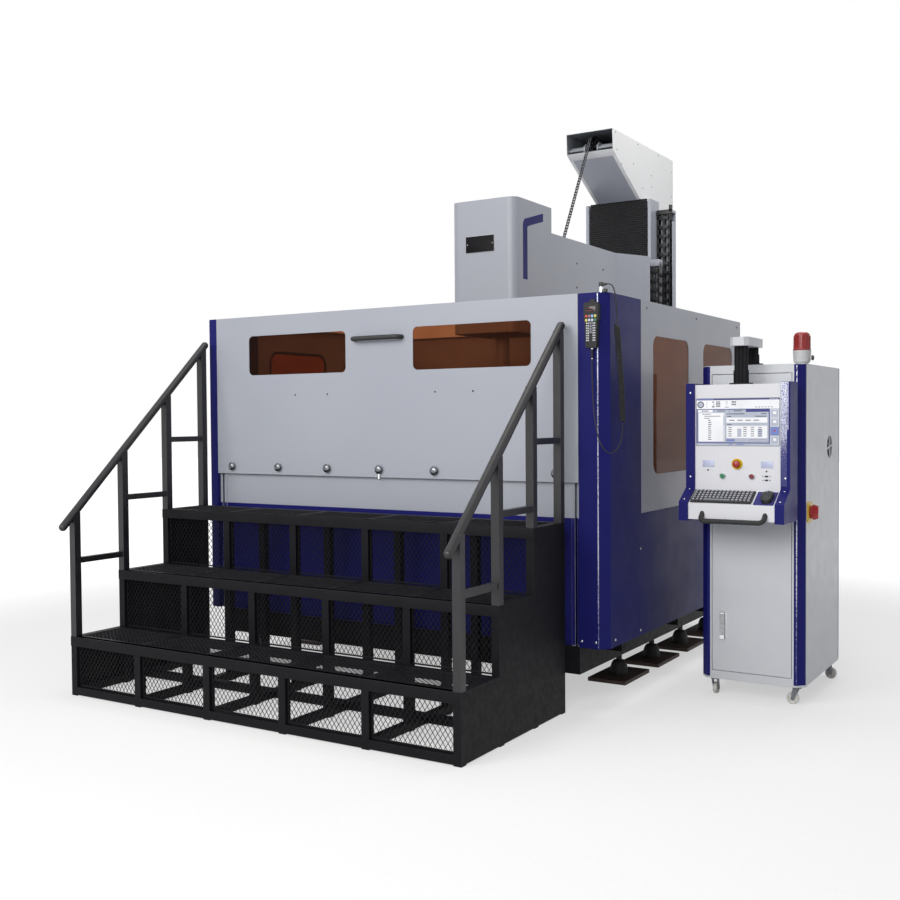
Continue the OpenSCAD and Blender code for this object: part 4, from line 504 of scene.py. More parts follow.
lacquer = {"Coat Weight": 0.15, "Coat Roughness": 0.2}
finishes = {  # tones; roughness from and to; patches, grain and the grain's height in mm; edge; sockets; stretch
    # polyester powder coat on folded sheet: satin, a faint orange peel, drawn at 6 mm so that it shows
    "slateEnamel": ("#a9adb8 #acb0ba #c4c8d0", 0.38, 0.46, 700, 6, 0.03, 0.6, lacquer),
    "navyEnamel": ("#1b1c62 #1e1f6a #3a449c", 0.4, 0.48, 500, 7, 0.05, 0.5, {"Specular IOR Level": 0.12}),
    "paleEnamel": ("#cfd2d8 #d4d7dc #e6e8ec", 0.34, 0.46, 240, 5, 0.03, 0.5, lacquer),
    "consoleEnamel": ("#e3e4ea #e7e8ed #f4f4f7", 0.34, 0.46, 500, 5, 0.03, 0.5),
    # black enamel brushed on welded steel: grey along its edges, partly wear and partly a painted highlight
    "stairEnamel": ("#141417 #19191c #3f3f43", 0.42, 0.56, 90, 4, 0.05, 0.5, {"Specular IOR Level": 0.1}),
    # the same enamel rubbed glossy by hands on the rails
    "railEnamel": ("#1b1b1e #232326 #56565a", 0.3, 0.42, 120, 4, 0.03, 0.5),
    # primed steel plate with a rusty brown bloom
    "brownPrimer": ("#33241f #46332c #6b5348", 0.55, 0.75, 60, 3, 0.12, 0.4),
    # sand-cast iron, oiled: coarse skin and a dull sheen
    "castSkin": ("#3a3b3e #4a4b4e #808287", 0.5, 0.7, 70, 2.5, 0.25, 0.4, {"Metallic": 0.6}),
    # ground steel: fine parallel marks, bright
    "groundSteel": ("#a9abae #bdbfc2 #dcdde0", 0.22, 0.36, 90, 2, 0.02, 0.4, {"Metallic": 1.0}, (1, 14, 14)),
    # white-coated sheet of the lift's hood
    "hoodSheet": ("#f3f4f5 #f6f7f8 #ffffff", 0.32, 0.42, 300, 7, 0.03, 0.5, lacquer),
    # polished chrome plate over steel
    "chromePlate": ("#cfd1d4 #dfe0e2", 0.06, 0.14, 30, 4, 0.01, 0, {"Metallic": 1.0}),
    # oiled dark steel of chain and sprocket
    "oiledSteel": ("#232327 #3a3a3f #8b8c92", 0.3, 0.5, 20, 2, 0.05, 0.5, {"Metallic": 0.9}),
    # polished steel of the door's knobs
    "polishedSteel": ("#6c6e72 #7b7d82 #9a9ca1", 0.1, 0.2, 25, 2, 0.01, 0.4, {"Metallic": 1.0}),
    # zinc-plated pressed steel of the casters' forks, dulled
    "zincPlate": ("#66696e #777a80 #9a9da2", 0.35, 0.5, 20, 2, 0.02, 0.4, {"Metallic": 0.7}),
    # moulded ABS with a spark-eroded grain; the hand pendant's is finer and more satin
    "blackAbs": ("#1b1c1e #242527 #3c3d40", 0.42, 0.56, 40, 1.2, 0.04, 0.4),
    "greyAbs": ("#7d8086 #888b91 #a6a9ae", 0.42, 0.56, 40, 1.2, 0.04, 0.4),
    "paleAbs": ("#bfc0c2 #c8c9cb #dcdcde", 0.42, 0.52, 40, 1.2, 0.03, 0.4),
    "pendantAbs": ("#17181a #1c1d1f #2b2c2f", 0.42, 0.55, 30, 1.2, 0.04, 0.5, {"Specular IOR Level": 0.3}),
    # cast nylon wheel, slightly waxy
    "whiteNylon": ("#d5d3cd #e2e0da #eeeeee", 0.35, 0.5, 18, 1.5, 0.04, 0.3, {"Subsurface Weight": 0.1}),
    # moulded rubber and coated bellows cloth
    "mattRubber": ("#1a1a1c #252527 #3a3a3d", 0.6, 0.8, 30, 1.5, 0.08, 0.3),
    # woven cloth of the mouse's pad
    "padCloth": ("#2f2d70 #39377f", 0.75, 0.85, 30, 1, 0.05),
    # glossy injection-moulded caps of buttons and collars
    "redCap": ("#9c1a1c #ad2122 #d1494a", 0.2, 0.3, 20, 3, 0.01, 0.3, {"Coat Weight": 0.15, "Coat Roughness": 0.1}),
    "greenCap": ("#1b7d52 #23905f #63c698", 0.2, 0.3, 20, 3, 0.01, 0.3, {"Coat Weight": 0.3, "Coat Roughness": 0.1}),
    "wineCap": ("#7c2430 #8a2c38 #b0606a", 0.25, 0.35, 20, 3, 0.01, 0.3),
    "yellowCap": ("#d9b400 #e6c313 #f5dc62", 0.3, 0.4, 30, 3, 0.01, 0.3),
    # ribbed acrylic lens of the beacon
    "lensRed": ("#8c1315 #9b191b #c04a4a", 0.15, 0.25, 30, 4, 0.02, 0.3),
    # smoked glass over the pendant's display
    "darkGlass": ("#0f1012 #141517", 0.05, 0.09, 60, 8, 0.005),
    # printed film of a blank label
    "paleLabel": ("#bcc4e4 #ccd2ea #dfe4f4", 0.3, 0.4, 9, 2, 0.01, 0.3),
    # moulded key caps with a fine matt grain, their printed strokes, and the pendant's soft coloured keys
    "keyGrey": ("#7c7d86 #878891 #a5a6ae", 0.4, 0.5, 20, 1.5, 0.02, 0.5),
    "keyLegend": ("#cfd0d5 #dfe0e4", 0.4, 0.5, 20, 1.5, 0.01),
    **{name: (tones, 0.4, 0.5, 20, 1.5, 0.02) for name, tones in {
        "keyRed": "#c23a36 #cc4a45", "keyMauve": "#96606c #a06c78", "keySky": "#8ab4e2 #9ac0ea",
        "keyYellow": "#d3cb62 #ded772", "keyGreen": "#2c6b3a #387a46"}.items()},
}


def amberPane():
    # tinted acrylic welding pane: clear, glossy, deep orange-brown; its tint deepens in faint cast streaks
    material, tree, surface, place = newMaterial("amberAcrylic")
    streak = toneNoise(tree, place, 400, 0, 1, 2.0, (1, 1, 3))
    wave = toneNoise(tree, place, 180, 0, 1, 1.0)
    fill(tree, surface, {"Base Color": mixed(tree, streak, linear("#82492c"), linear("#8e5535")),
                         "Normal": bumped(tree, wave, 0.4, 0.4), "Roughness": 0.04, "IOR": 1.12,
                         "Transmission Weight": 0.96})
    return material


screenTones = {"screenGlow": "#e9ebf2", "screenWhite": "#fbfcff", "screenNavy": "#27307f", "screenGrey": "#b9bfce",
               "screenInk": "#3d4258", "screenBlue": "#6f86cf", "screenRed": "#b8363a"}


def screenTone(name, tone):
    # liquid crystal display behind a matt polariser: its own glow, a faint cloud, little light thrown back
    material, tree, surface, place = newMaterial(name)
    cloud = toneNoise(tree, place, 120, 0, 1)
    clear = linear(tone)
    dim = (*(0.9 * part for part in clear[:3]), 1.0)
    fill(tree, surface, {"Emission Color": mixed(tree, cloud, clear, dim), "Emission Strength": 0.93,
                         "Base Color": mixed(tree, cloud, (0.06, 0.06, 0.07, 1), (0.05, 0.05, 0.06, 1)),
                         "Specular IOR Level": 0.15, "Roughness": 0.4})
    return material


def speckledHighlightCoat(name, low, high, cover):
    # navy enamel with a painted highlight of pale, partly metallic speckle: speckle where noise passes a limit that
    # falls from low to high (m)
    material, tree, surface, place = newMaterial(name)
    height = addNode(tree, "ShaderNodeSeparateXYZ", {0: place}).outputs[2]
    fade = mapped(tree, height, low, high, 0.0, cover, "SMOOTHSTEP")
    highlightSpeckle = toneNoise(tree, place, 4, 0, 1, 2.0)
    patches = toneNoise(tree, place, 240, -0.25, 0.1, 2.0)
    shown = sums(tree, "ADD", sums(tree, "ADD", highlightSpeckle, fade), patches)
    mask = mapped(tree, shown, 0.8, 1.25, 0.0, 1.0)
    fill(tree, surface, {"Base Color": mixed(tree, mask, linear("#23266f"), linear("#dfe3f4")),
                         "Metallic": sums(tree, "MULTIPLY", mask, 0.45), "Normal": bumped(tree, highlightSpeckle, 0.2),
                         "Roughness": toneNoise(tree, place, 5, 0.25, 0.45)})
    return material


def shadeInsidePainted(material, low, high):
    # between the corners low and high (m) the coat gives way to a dull grey painted shade, for the shade inside a
    # folded sheet
    tree = material.node_tree
    surface = next(node for node in tree.nodes if node.type == "BSDF_PRINCIPLED")
    place = addNode(tree, "ShaderNodeTexCoord").outputs["Object"]
    part = addNode(tree, "ShaderNodeSeparateXYZ", {0: place}).outputs
    inside = sums(tree, "GREATER_THAN", part[0], low[0])
    for value, limit in zip(part, high):
        inside = sums(tree, "MULTIPLY", inside, sums(tree, "LESS_THAN", value, limit))
    # dull grey painted shade for the inside of the hood
    paintedShade = mixed(tree, toneNoise(tree, place, 90, 0, 1), linear("#8f949a"), linear("#a0a5ab"))
    coat = surface.inputs["Base Color"].links[0].from_socket
    fill(tree, surface, {"Base Color": mixed(tree, inside, coat, paintedShade)})


def makeMaterials():
    materials.update({name: finish(name, *look) for name, look in finishes.items()})
    materials.update({name: screenTone(name, tone) for name, tone in screenTones.items()})
    materials["amberAcrylic"] = amberPane()
    # the hood is white outside with painted shade inside, and its lips stay white on both faces
    materials["hoodLip"] = finish("hoodLip", *finishes["hoodSheet"])
    low, high = (np.array(corner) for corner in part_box("hood"))
    skin = 0.0015
    shadeInsidePainted(materials["hoodSheet"], low + skin, high - skin)
    # painted highlights of pale speckle along the folds of the machine and the cabinet, and a painted reflection on the
    # console's cheek
    materials["foldFlake"] = speckledHighlightCoat("foldFlake", -0.2, 0.9, 0.72)
    # the cheek's coat is a painted reflection of pale speckle
    materials["cheekFlake"] = speckledHighlightCoat("cheekFlake", 1.1, 1.6, 0.8)
    print("materials made", len(materials))


slotFinish = {
    "blue_paint": "navyEnamel", "grey_paint": "slateEnamel", "pale_paint": "paleEnamel", "black_paint": "stairEnamel",
    "brown_steel": "brownPrimer", "casting": "castSkin", "machined": "groundSteel", "hood_sheet": "hoodSheet",
    "chrome": "chromePlate", "dark_steel": "oiledSteel", "amber_pane": "amberAcrylic", "black_plastic": "blackAbs",
    "grey_plastic": "greyAbs", "white_plastic": "whiteNylon", "rubber": "mattRubber", "red_plastic": "redCap",
    "yellow_plastic": "yellowCap", "green_plastic": "greenCap", "screen_glass": "screenGlow",
}
nodeFinish = {
    "remote": "pendantAbs", "door_latch": "groundSteel", "door_knobs": "polishedSteel", "handrails": "railEnamel",
    "console_shell": "consoleEnamel", "stop_button": "wineCap", "beacon_base": "paleAbs", "beacon_lens": "lensRed",
    **{"caster_fork_" + corner: "zincPlate" for corner in ("fl", "fr", "rl", "rr")},
}


def dressNodes():
    # every node takes its own finish, or else that of its slot in the record
    slots = {part["node"]: part["material_slot"] for part in frame["record"]["subparts"]}
    for name, node in nodes.items():
        node.data.materials.clear()
        node.data.materials.append(materials[nodeFinish.get(name, slotFinish[slots[name]])])
    print("nodes dressed", len(nodes))


stair = {"left": -2602, "right": -199, "front": -1042, "going": 329, "rise": 312, "steps": 3, "bays": 5, "tube": 40,
         "tread": 5, "floorGap": 8}
nosing = {"drop": 50, "reach": 30, "thick": 3, "round": 2.5, "chamfer": 0.7, "out": 3}
netting = {"strand": 2.3, "thick": 2, "ply": 0.4, "lean": 0.5, "depth": 2.6, "treadDiamond": (30, 24),
           "riserDiamond": (25.5, 36), "rim": 7, "rimDeep": 4, "rimBack": 2}


def expanded(origin, across, upward, out, width, height, diamond):
    # expanded metal: lines x / w - k = +-y / h cut off at the sheet's four sides, each a flat strand that leans
    w, h = diamond
    strands = []
    for sign in (1, -1):
        k = np.arange(-int(height / h) - 2, int(width / w) + int(height / h) + 3) + 0.5
        atBottom = k * w
        y0 = np.clip(np.minimum(-atBottom * h / w * sign, (width - atBottom) * h / w * sign), 0, height)
        y1 = np.clip(np.maximum(-atBottom * h / w * sign, (width - atBottom) * h / w * sign), 0, height)
        kept = y1 - y0 > 1
        y0, y1, atBottom = y0[kept], y1[kept], atBottom[kept]
        ends = [np.asarray(origin, float) + (atBottom + sign * y * w / h)[:, None] * across + y[:, None] * upward
                + netting["ply"] * sign * out for y in (y0, y1)]
        leaning = out + netting["lean"] * sign * across + netting["lean"] * upward
        strands.append(bars(*ends, netting["strand"], netting["thick"], leaning))
    return joined(*strands)


def makeStair():
    x, y, z = np.eye(3)
    left, right, tube, going = stair["left"], stair["right"], stair["tube"], stair["going"]
    pitch = (right - left - tube) / stair["bays"]
    inBay = pitch - tube
    bayLeft = left + tube + np.arange(stair["bays"]) * pitch
    rim, deep = netting["rim"], netting["rimDeep"]
    reach, drop, thick, chamfer = (nosing[key] for key in ("reach", "drop", "thick", "chamfer"))
    # the nosing's section, from its inner foot round to the front: down the front edge and along the tread
    fold = np.array([(0, -nosing["round"]), (chamfer, -chamfer), (nosing["round"], 0), (reach, 0), (reach, -thick),
                     (thick, -thick), (thick, -drop), (0, -drop)])
    risers, treads = [], []
    for step in range(stair["steps"]):
        front, top = stair["front"] + step * going, (step + 1) * stair["rise"]
        bottom = stair["floorGap"] + tube if step == 0 else step * stair["rise"]
        tall = top - stair["tread"] - tube - bottom
        for start in bayLeft:
            risers.append(expanded((start, front + tube / 2, bottom), x, z, -y, inBay, tall,
                                   netting["riserDiamond"]))
            risers.append(slabs((start + inBay / 2, front + tube / 2 + netting["rimBack"], bottom + tall / 2), inBay,
                                tall, 2, [(0, 0), (0, deep), (rim, deep), (rim, 0)], toFront, ring=True, steps=2))
            treads.append(expanded((start, front + tube, top - netting["depth"]), x, y, z, inBay, going - 2 * tube,
                                   netting["treadDiamond"]))
        # border of flat bars over the tubes with a bar over each rib, then the folded nosing along the front edge
        high, inner = stair["tread"], tube + thick
        treads.append(slabs(((left + right) / 2, front + going / 2, top - high), right - left, going - 1, 3,
                            [(0, 0), (0, high - 1), (1, high), (inner, high), (inner, 0)], toTop, ring=True,
                            steps=2))
        ribs = [(at, front + going / 2, top - high) for at in bayLeft[1:] - tube / 2]
        treads.append(slabs(ribs, tube, going - 2 * tube, 1, softRows(high - 0.1, 1), toTop, steps=2))
        treads.append(extruded(fold, (left, front - nosing["out"], top), toBack, toTop, right - left))
    putMesh("stairRiserMesh", risers, "stairEnamel", stands=["stair_risers"])
    putMesh("stairTreadMesh", treads, "stairEnamel", stands=["stair_treads"])
    print("stair made")


drag = {"x": -982.5, "back": 3395, "front": 3165, "top": 3040, "turn": 1745, "end": 2599.5, "pitch": 70, "width": 105,
        "height": 60, "plate": 13, "rung": 30, "rungThick": 7, "rimLess": 24, "rimOut": 1.5, "strap": 16,
        "hose": 11, "hoseAt": 22, "sample": 12}


def dragPlaces(s):
    # centre line: straight down at the back, a half turn, straight up at the front; returns places and headings
    down, radius = drag["top"] - drag["turn"], (drag["back"] - drag["front"]) / 2
    a = np.clip((s - down) / radius, 0, pi)
    y = drag["back"] - radius * (1 - np.cos(a))
    z = drag["turn"] - radius * np.sin(a) + np.maximum(down - s, 0) + np.maximum(s - down - pi * radius, 0)
    heading = np.stack([0 * a, -np.sin(a), -np.cos(a)], -1)
    return np.stack([drag["x"] + 0 * a, y, z], -1), heading


def dragLink(pitch):
    # one link: two cheeks with a raised rim and a pin each, a rung and a strap on both faces, a partition
    half, plate, high = drag["width"] / 2, drag["plate"], drag["height"]
    cheek = extruded(stadium(pitch, high), (0, 0, 0), toBack, toTop, plate)
    rim = extruded(stadium(pitch, high - drag["rimLess"]), (0, 0, 0), toBack, toTop, plate + drag["rimOut"])
    shapes = []
    for side in (-half, half - plate):
        shapes.append((cheek[0] + (side, 0, 0), cheek[1]))
        shapes.append((rim[0] + (side - (drag["rimOut"] if side < 0 else 0), 0, 0), rim[1]))
        shapes.append(turned([(-2.5, 5), (-1, 8), (plate + 1, 8), (plate + 2.5, 5)], [(side, 0, pitch / 2)], toRight,
                             12))
    for face in (-1, 1):
        out = (0, face, 0)
        shapes.append(slabs((0, face * (high / 2 - drag["rungThick"]), 0), drag["width"] - 4, drag["rung"], 5,
                            softRows(drag["rungThick"], 1.5), out, steps=3))
        shapes.append(slabs((0, face * (high / 2 - 6), 0), drag["strap"], pitch - 2, 2, softRows(5, 1), out, steps=2))
    shapes.append(slabs((0, 4 - high / 2, 0), 5, drag["rung"] - 6, 1, [(0, 0), (0, high - 8)], toBack, steps=2))
    return joined(*shapes)


def makeDragChain():
    radius = (drag["back"] - drag["front"]) / 2
    length = drag["top"] - drag["turn"] + pi * radius + drag["end"] - drag["turn"]
    count = int(length / drag["pitch"])
    pitch = length / count
    link = dragLink(pitch)
    s = (np.arange(count) + 0.5) * pitch
    place, heading = dragPlaces(s)
    x = np.array([1.0, 0, 0])
    over = np.cross(heading, x)
    lowEnd = drag["turn"] - radius - drag["height"] / 2
    splitAt = drag["top"] - drag["turn"] + pi * radius / 2
    fine = np.append(np.arange(0, length, drag["sample"]), length)
    for name, before, start, end in (("dragChainColumn", True, drag["top"], 2 * lowEnd - drag["top"]),
                                     ("dragChainArm", False, 2 * lowEnd - drag["end"], drag["end"])):
        kept, run = (s < splitAt) == before, dragPlaces(fine[(fine < splitAt) == before])[0]
        links = copies(link, place[kept], x, over[kept], heading[kept])
        # the grey hoses inside the chain show between its rungs
        hoses = [(*carried(roundOutline(drag["hose"], 10), run + (side, 0, 0), x), 1)
                 for side in (-drag["hoseAt"], drag["hoseAt"])]
        piece = putMesh(name, [(*links, 0), *hoses], ["blackAbs", "greyAbs"], None, ["drag_chain"] if before else ())
        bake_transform(piece)


def squashDown(piece):
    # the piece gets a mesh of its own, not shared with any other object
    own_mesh(piece)


cover = {"folds": 30, "depth": 11, "share": 0.94, "perFold": 6, "cloth": 5, "edge": 0.5}


def makeBellows():
    # folded cloth: depth = a rounded zigzag of the height, carried straight across
    low, high = ((np.array(corner) - home) * 1000 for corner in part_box("bellows"))
    u = np.linspace(0, cover["folds"], cover["folds"] * cover["perFold"] + 1)
    wave = np.arccos(cover["share"] * np.cos(2 * pi * u)) / pi
    z = low[2] + (high[2] - low[2]) * u / cover["folds"]
    front = np.stack([low[1] + 1 + cover["depth"] * wave, z], -1)
    back = np.stack([np.minimum(front[::-1, 0] + cover["cloth"], high[1] - cover["edge"]), z[::-1]], -1)
    cloth = extruded(np.vstack([front, back]), (low[0] + 1, 0, 0), toBack, toTop, high[0] - low[0] - 2)
    piece = putMesh("bellowsCloth", [cloth], "mattRubber", stands=["bellows"], angle=50)
    squashDown(piece)


lift = {"x": -1315, "pitch": 25.4, "lug": (2235, 2678), "sprocket": (2790, 3480), "radius": 80, "endY": 3250,
        "plate": 2.6, "plateAt": (6.6, 9.6), "roller": 6.6, "rollerHalf": 5.2, "pin": 3.4, "pinHalf": 12.2,
        "first": 18}


def liftPlaces(s):
    # straight from the lug to the sprocket, round it, then level to the anchor; returns the places, and the run
    # up to where the chain leaves the sprocket
    span = np.subtract(lift["sprocket"], lift["lug"])
    straight = np.sqrt(span @ span - lift["radius"] ** 2)
    slope = np.arctan2(span[1], span[0]) + np.arcsin(lift["radius"] / np.linalg.norm(span))
    arc = lift["radius"] * slope
    h = slope - np.clip((s - straight) / lift["radius"], 0, slope)
    run, after = np.minimum(s, straight), np.maximum(s - straight - arc, 0)
    onArc = s > straight
    y = np.where(onArc, lift["sprocket"][0] - lift["radius"] * np.sin(h), lift["lug"][0] + run * np.cos(slope)) + after
    z = np.where(onArc, lift["sprocket"][1] + lift["radius"] * np.cos(h), lift["lug"][1] + run * np.sin(slope))
    return np.stack([lift["x"] + 0 * y, y, z], -1), straight + arc


def makeLiftChain():
    leaves = liftPlaces(np.array([0.0]))[1]
    count = int((leaves + lift["endY"] - lift["sprocket"][0] - lift["first"]) / lift["pitch"])
    place = liftPlaces(lift["first"] + np.arange(count + 1) * lift["pitch"])[0]
    t = angles(20)
    # plate outline: two round eyes drawn in at the waist
    lobe = 4.6 + 4.6 * np.abs(np.sin(t)) ** 1.5
    outline = np.stack([lobe * np.cos(t) * 0.98, np.sin(t) * 9.3 + np.sign(np.sin(t)) * lift["pitch"] / 2], -1)
    plate = extruded(outline, (0, 0, 0), toBack, toTop, lift["plate"])
    middle = (place[1:] + place[:-1]) / 2
    along = unit(np.diff(place, axis=0))
    x = np.array([1.0, 0, 0])
    shapes = []
    for i, side in enumerate(lift["plateAt"]):
        pair = joined(*[(plate[0] + (offset - lift["plate"] / 2, 0, 0), plate[1]) for offset in (-side, side)])
        shapes.append(copies(pair, middle[i::2], x, np.cross(along[i::2], x), along[i::2]))
    # the first link straddles the arm's lug, so it has no roller or pin of its own there
    roll, pin, end = lift["rollerHalf"], lift["pin"], lift["pinHalf"]
    shapes.append(turned([(-roll, lift["roller"]), (roll, lift["roller"])], place[1:], toRight, 10))
    shapes.append(turned([(-end, pin - 1), (0.6 - end, pin), (end - 0.6, pin), (end, pin - 1)], place[1:], toRight, 8))
    piece = putMesh("liftRollerChain", shapes, "oiledSteel", stands=["lift_chain"])
    squashDown(piece)


head = {"right": -1082.5, "front": 1199, "wide": 60, "legBack": 1477, "low": 2313, "corner": 2682, "leg": 2758,
        "thick": 52, "round": 40, "innerRound": 16, "film": (0.4, 0.9)}


def makeHeadStripe():
    # an upright and a leg that rises to the back; each corner is a quadratic curve between its two edges
    front, back, wide = head["front"], head["legBack"], head["wide"]
    slope = (head["leg"] - head["corner"]) / (back - front)
    inner = head["leg"] - head["thick"] - slope * (back - front - wide)

    def corner(y, z, r):
        t = np.linspace(0, 1, 8)[:, None]
        start, end = np.array([y, z - r]), np.array([y + r, z + slope * r])
        return (1 - t) ** 2 * start + 2 * t * (1 - t) * np.array([y, z]) + t ** 2 * end

    outline = np.vstack([[(back, head["leg"])], corner(front, head["corner"], head["round"])[::-1],
                         [(front, head["low"]), (front + wide, head["low"])],
                         corner(front + wide, inner, head["innerRound"]), [(back, head["leg"] - head["thick"])]])
    sunk, film = head["film"]
    stripe = extruded(outline, (head["right"] - sunk, 0, 0), toBack, toTop, film)
    putMesh("headStripe", [stripe], "navyEnamel", "arm")
    print("lift and head made")


console = {"x": 513, "face": 402, "mid": 1083, "half": 212, "cheek": 45, "shelfOut": 105, "shelfDrop": 62,
           "stop": [(0, 1214)], "rings": [(-72, 1154), (72, 1154)], "labels": [(-144, 1214), (146, 1212)],
           "sockets": [(143, 1156), (143, 1137)], "lamps": [(-146, 1182), (143, 1180)], "cheekFront": 8,
           "screwZ": (1564, 1148), "screwRun": (14, 104), "highlightSpeckle": [(1, 30, 0.5, 1110), (32, 37, 0.6, 1380)],
           "highlightSpeckleTop": 1609}
screen = {"size": (408, 229), "z": 1419, "layer": 0.14, "dial": (20, 86)}


def onScreen(left, right, top, bottom, layer):
    # marks given from the screen's upper left corner in mm, each layer a little nearer the eye
    left, right, top, bottom = np.broadcast_arrays(*(np.atleast_1d(np.asarray(v, float)) for v in
                                                     (left, right, top, bottom)))
    x0, z1 = console["x"] - screen["size"][0] / 2, screen["z"] + screen["size"][1] / 2
    y = console["face"] + 1 - screen["layer"] * layer
    return boxes(np.stack([x0 + left, 0 * left + y - screen["layer"], z1 - bottom], -1),
                 np.stack([x0 + right, 0 * left + y, z1 - top], -1))


def makeScreen():
    # plain control page: a title bar, a header, a tabbed frame with a list and a form, and a column of buttons;
    # each mark gives its tone, its layer, and its left, right, top and bottom
    white, navy, grey, ink, blue, red = range(6)
    n, four, knobs = np.arange(12), np.arange(4), 43 * np.arange(4)
    dash = 6 + 5 * np.abs(np.sin(n[:10] * 2.3))
    a, b = cells(5, 5)
    a, b = 160 + 40 * a[a != 1] * 0.92, 139 + 10.4 * b[a != 1]
    marks = [
        (navy, 0, 0, 408, 0, 7), (blue, 1, 0, 85, 1.5, 5.5),
        (grey, 1, 362 + 14 * n[:3], 372 + 14 * n[:3], 1.5, 5.5), (white, 0, 0, 408, 7, 50),
        (ink, 1, 50, 54, [14, 27, 38], [17, 30, 41]), (ink, 1, [80, 84, 78], [88, 88, 90], [13, 26, 36], [19, 32, 42]),
        (ink, 1, 98 + 7.2 * (n % 3), 104 + 7.2 * (n % 3), 13 + 7.4 * (n // 3), 18 + 7.4 * (n // 3)),
        (ink, 1, [148, 150, 142], [154, 154, 162], [14, 24, 40], [18, 28, 43]),
        (ink, 1, 176 + 7.5 * (n[:6] % 3), 182 + 7.5 * (n[:6] % 3), 13 + 12 * (n[:6] // 3), 20 + 12 * (n[:6] // 3)),
        (ink, 1, 292 + 15 * n[:6], 301 + 15 * n[:6], 41, 44),
        (navy, 0, 0, 362, 50, 219), (grey, 1, 5, 357, 66, 214),
        (grey, 1, [5, 84, 166], [82, 164, 246], 54, 66), (white, 2, 5, 82, 54, 66),
        (ink, 3, 25, 60, 58, 62), (ink, 2, [104, 186], [144, 226], 58, 62), (white, 2, 10, 134, 70, 210),
        (ink, 3, [28, 38, 38], [72, 120, 66], [74, 84, 94], [77, 87, 97]),
        (ink, 3, 58, 58 + dash + 6, 104 + 10.4 * n[:10], 108 + 10.4 * n[:10]),
        (white, 2, 136, 140, 70, 210), (grey, 3, 136.5, 139.5, 84, 130), (ink, 2, [152, 320], [240, 346], 73, 77),
        (white, 2, [150, 150], [350, 350], [93, 133], [118, 193]),
        (ink, 2, [154, 154, 292], [174, 176, 346], [85, 125, 85], [89, 129, 89]),
        (ink, 3, 164 + 40 * four, 190 + 40 * four, 104, 108), (ink, 3, a, a + 16, b, b + 3.5),
        (grey, 3, [204, 304], [224, 326], 147, 187), (ink, 2, [150, 264, 308], [190, 302, 350], 199, 209),
        (blue, 3, 151, 189, 200, 208), (grey, 3, [265, 309], [301, 349], 200, 208),
        (grey, 0, 362, 408, 50, 229), (white, 1, 366, 405, 54 + knobs, 93 + knobs),
        (grey, 2, 367.5, 403.5, 55.5 + knobs, 91.5 + knobs),
        (navy, 3, 366, 405, 140, 179), (blue, 4, 367.5, 403.5, 141.5, 177.5),
        (white, 3, 378, 393, 64 + knobs[[0, 1, 3]], 77 + knobs[[0, 1, 3]]), (red, 5, 381, 390, 152, 161),
        (grey, 0, 0, 362, 219, 229), (blue, 1, [160, 200], [180, 236], 222, 226),
    ]
    looks = ["screenWhite", "screenNavy", "screenGrey", "screenInk", "screenBlue", "screenRed"]
    putMesh("screenPage", [(*onScreen(*sides, layer), tone) for tone, layer, *sides in marks], looks, "console")
    # round dial of the header, and the frame around the glass
    across, up = screen["dial"]
    dialAt = (console["x"] - screen["size"][0] / 2 + across, console["face"] + 1, screen["z"] + up)
    putMesh("screenDial", [(*turned([(0, 17), (0.5, 17), (0.5, 12), (0.2, 12)], [dialAt], toFront, 28), 0),
                           (*turned([(0.1, 12.5), (0.45, 12), (0.5, 6)], [dialAt], toFront, 28), 1)],
            ["screenInk", "screenGrey"], "console")
    putMesh("screenFrame", [slabs((console["x"], console["face"], screen["z"]), screen["size"][0] + 6,
                                  screen["size"][1] + 6, 3, [(0, -0.2), (0, 1), (0.6, 1.6), (2, 1.6), (2.6, 1),
                                                             (2.6, -0.2)], toFront, ring=True)],
            "greyAbs", "console")


keyboard = {"left": -204, "near": -111.9, "width": 300, "depth": 99.9, "cols": 15, "rows": 5, "base": 9, "border": 4,
            "share": 0.84, "space": 6.84, "spaceAt": (6.5, 0.5), "split": (3, 9)}
mouse = {"pad": (154, -61, 0), "padSize": (98, 112), "wheel": (164, -47, 27.2), "seam": (164, -40, 26.5)}


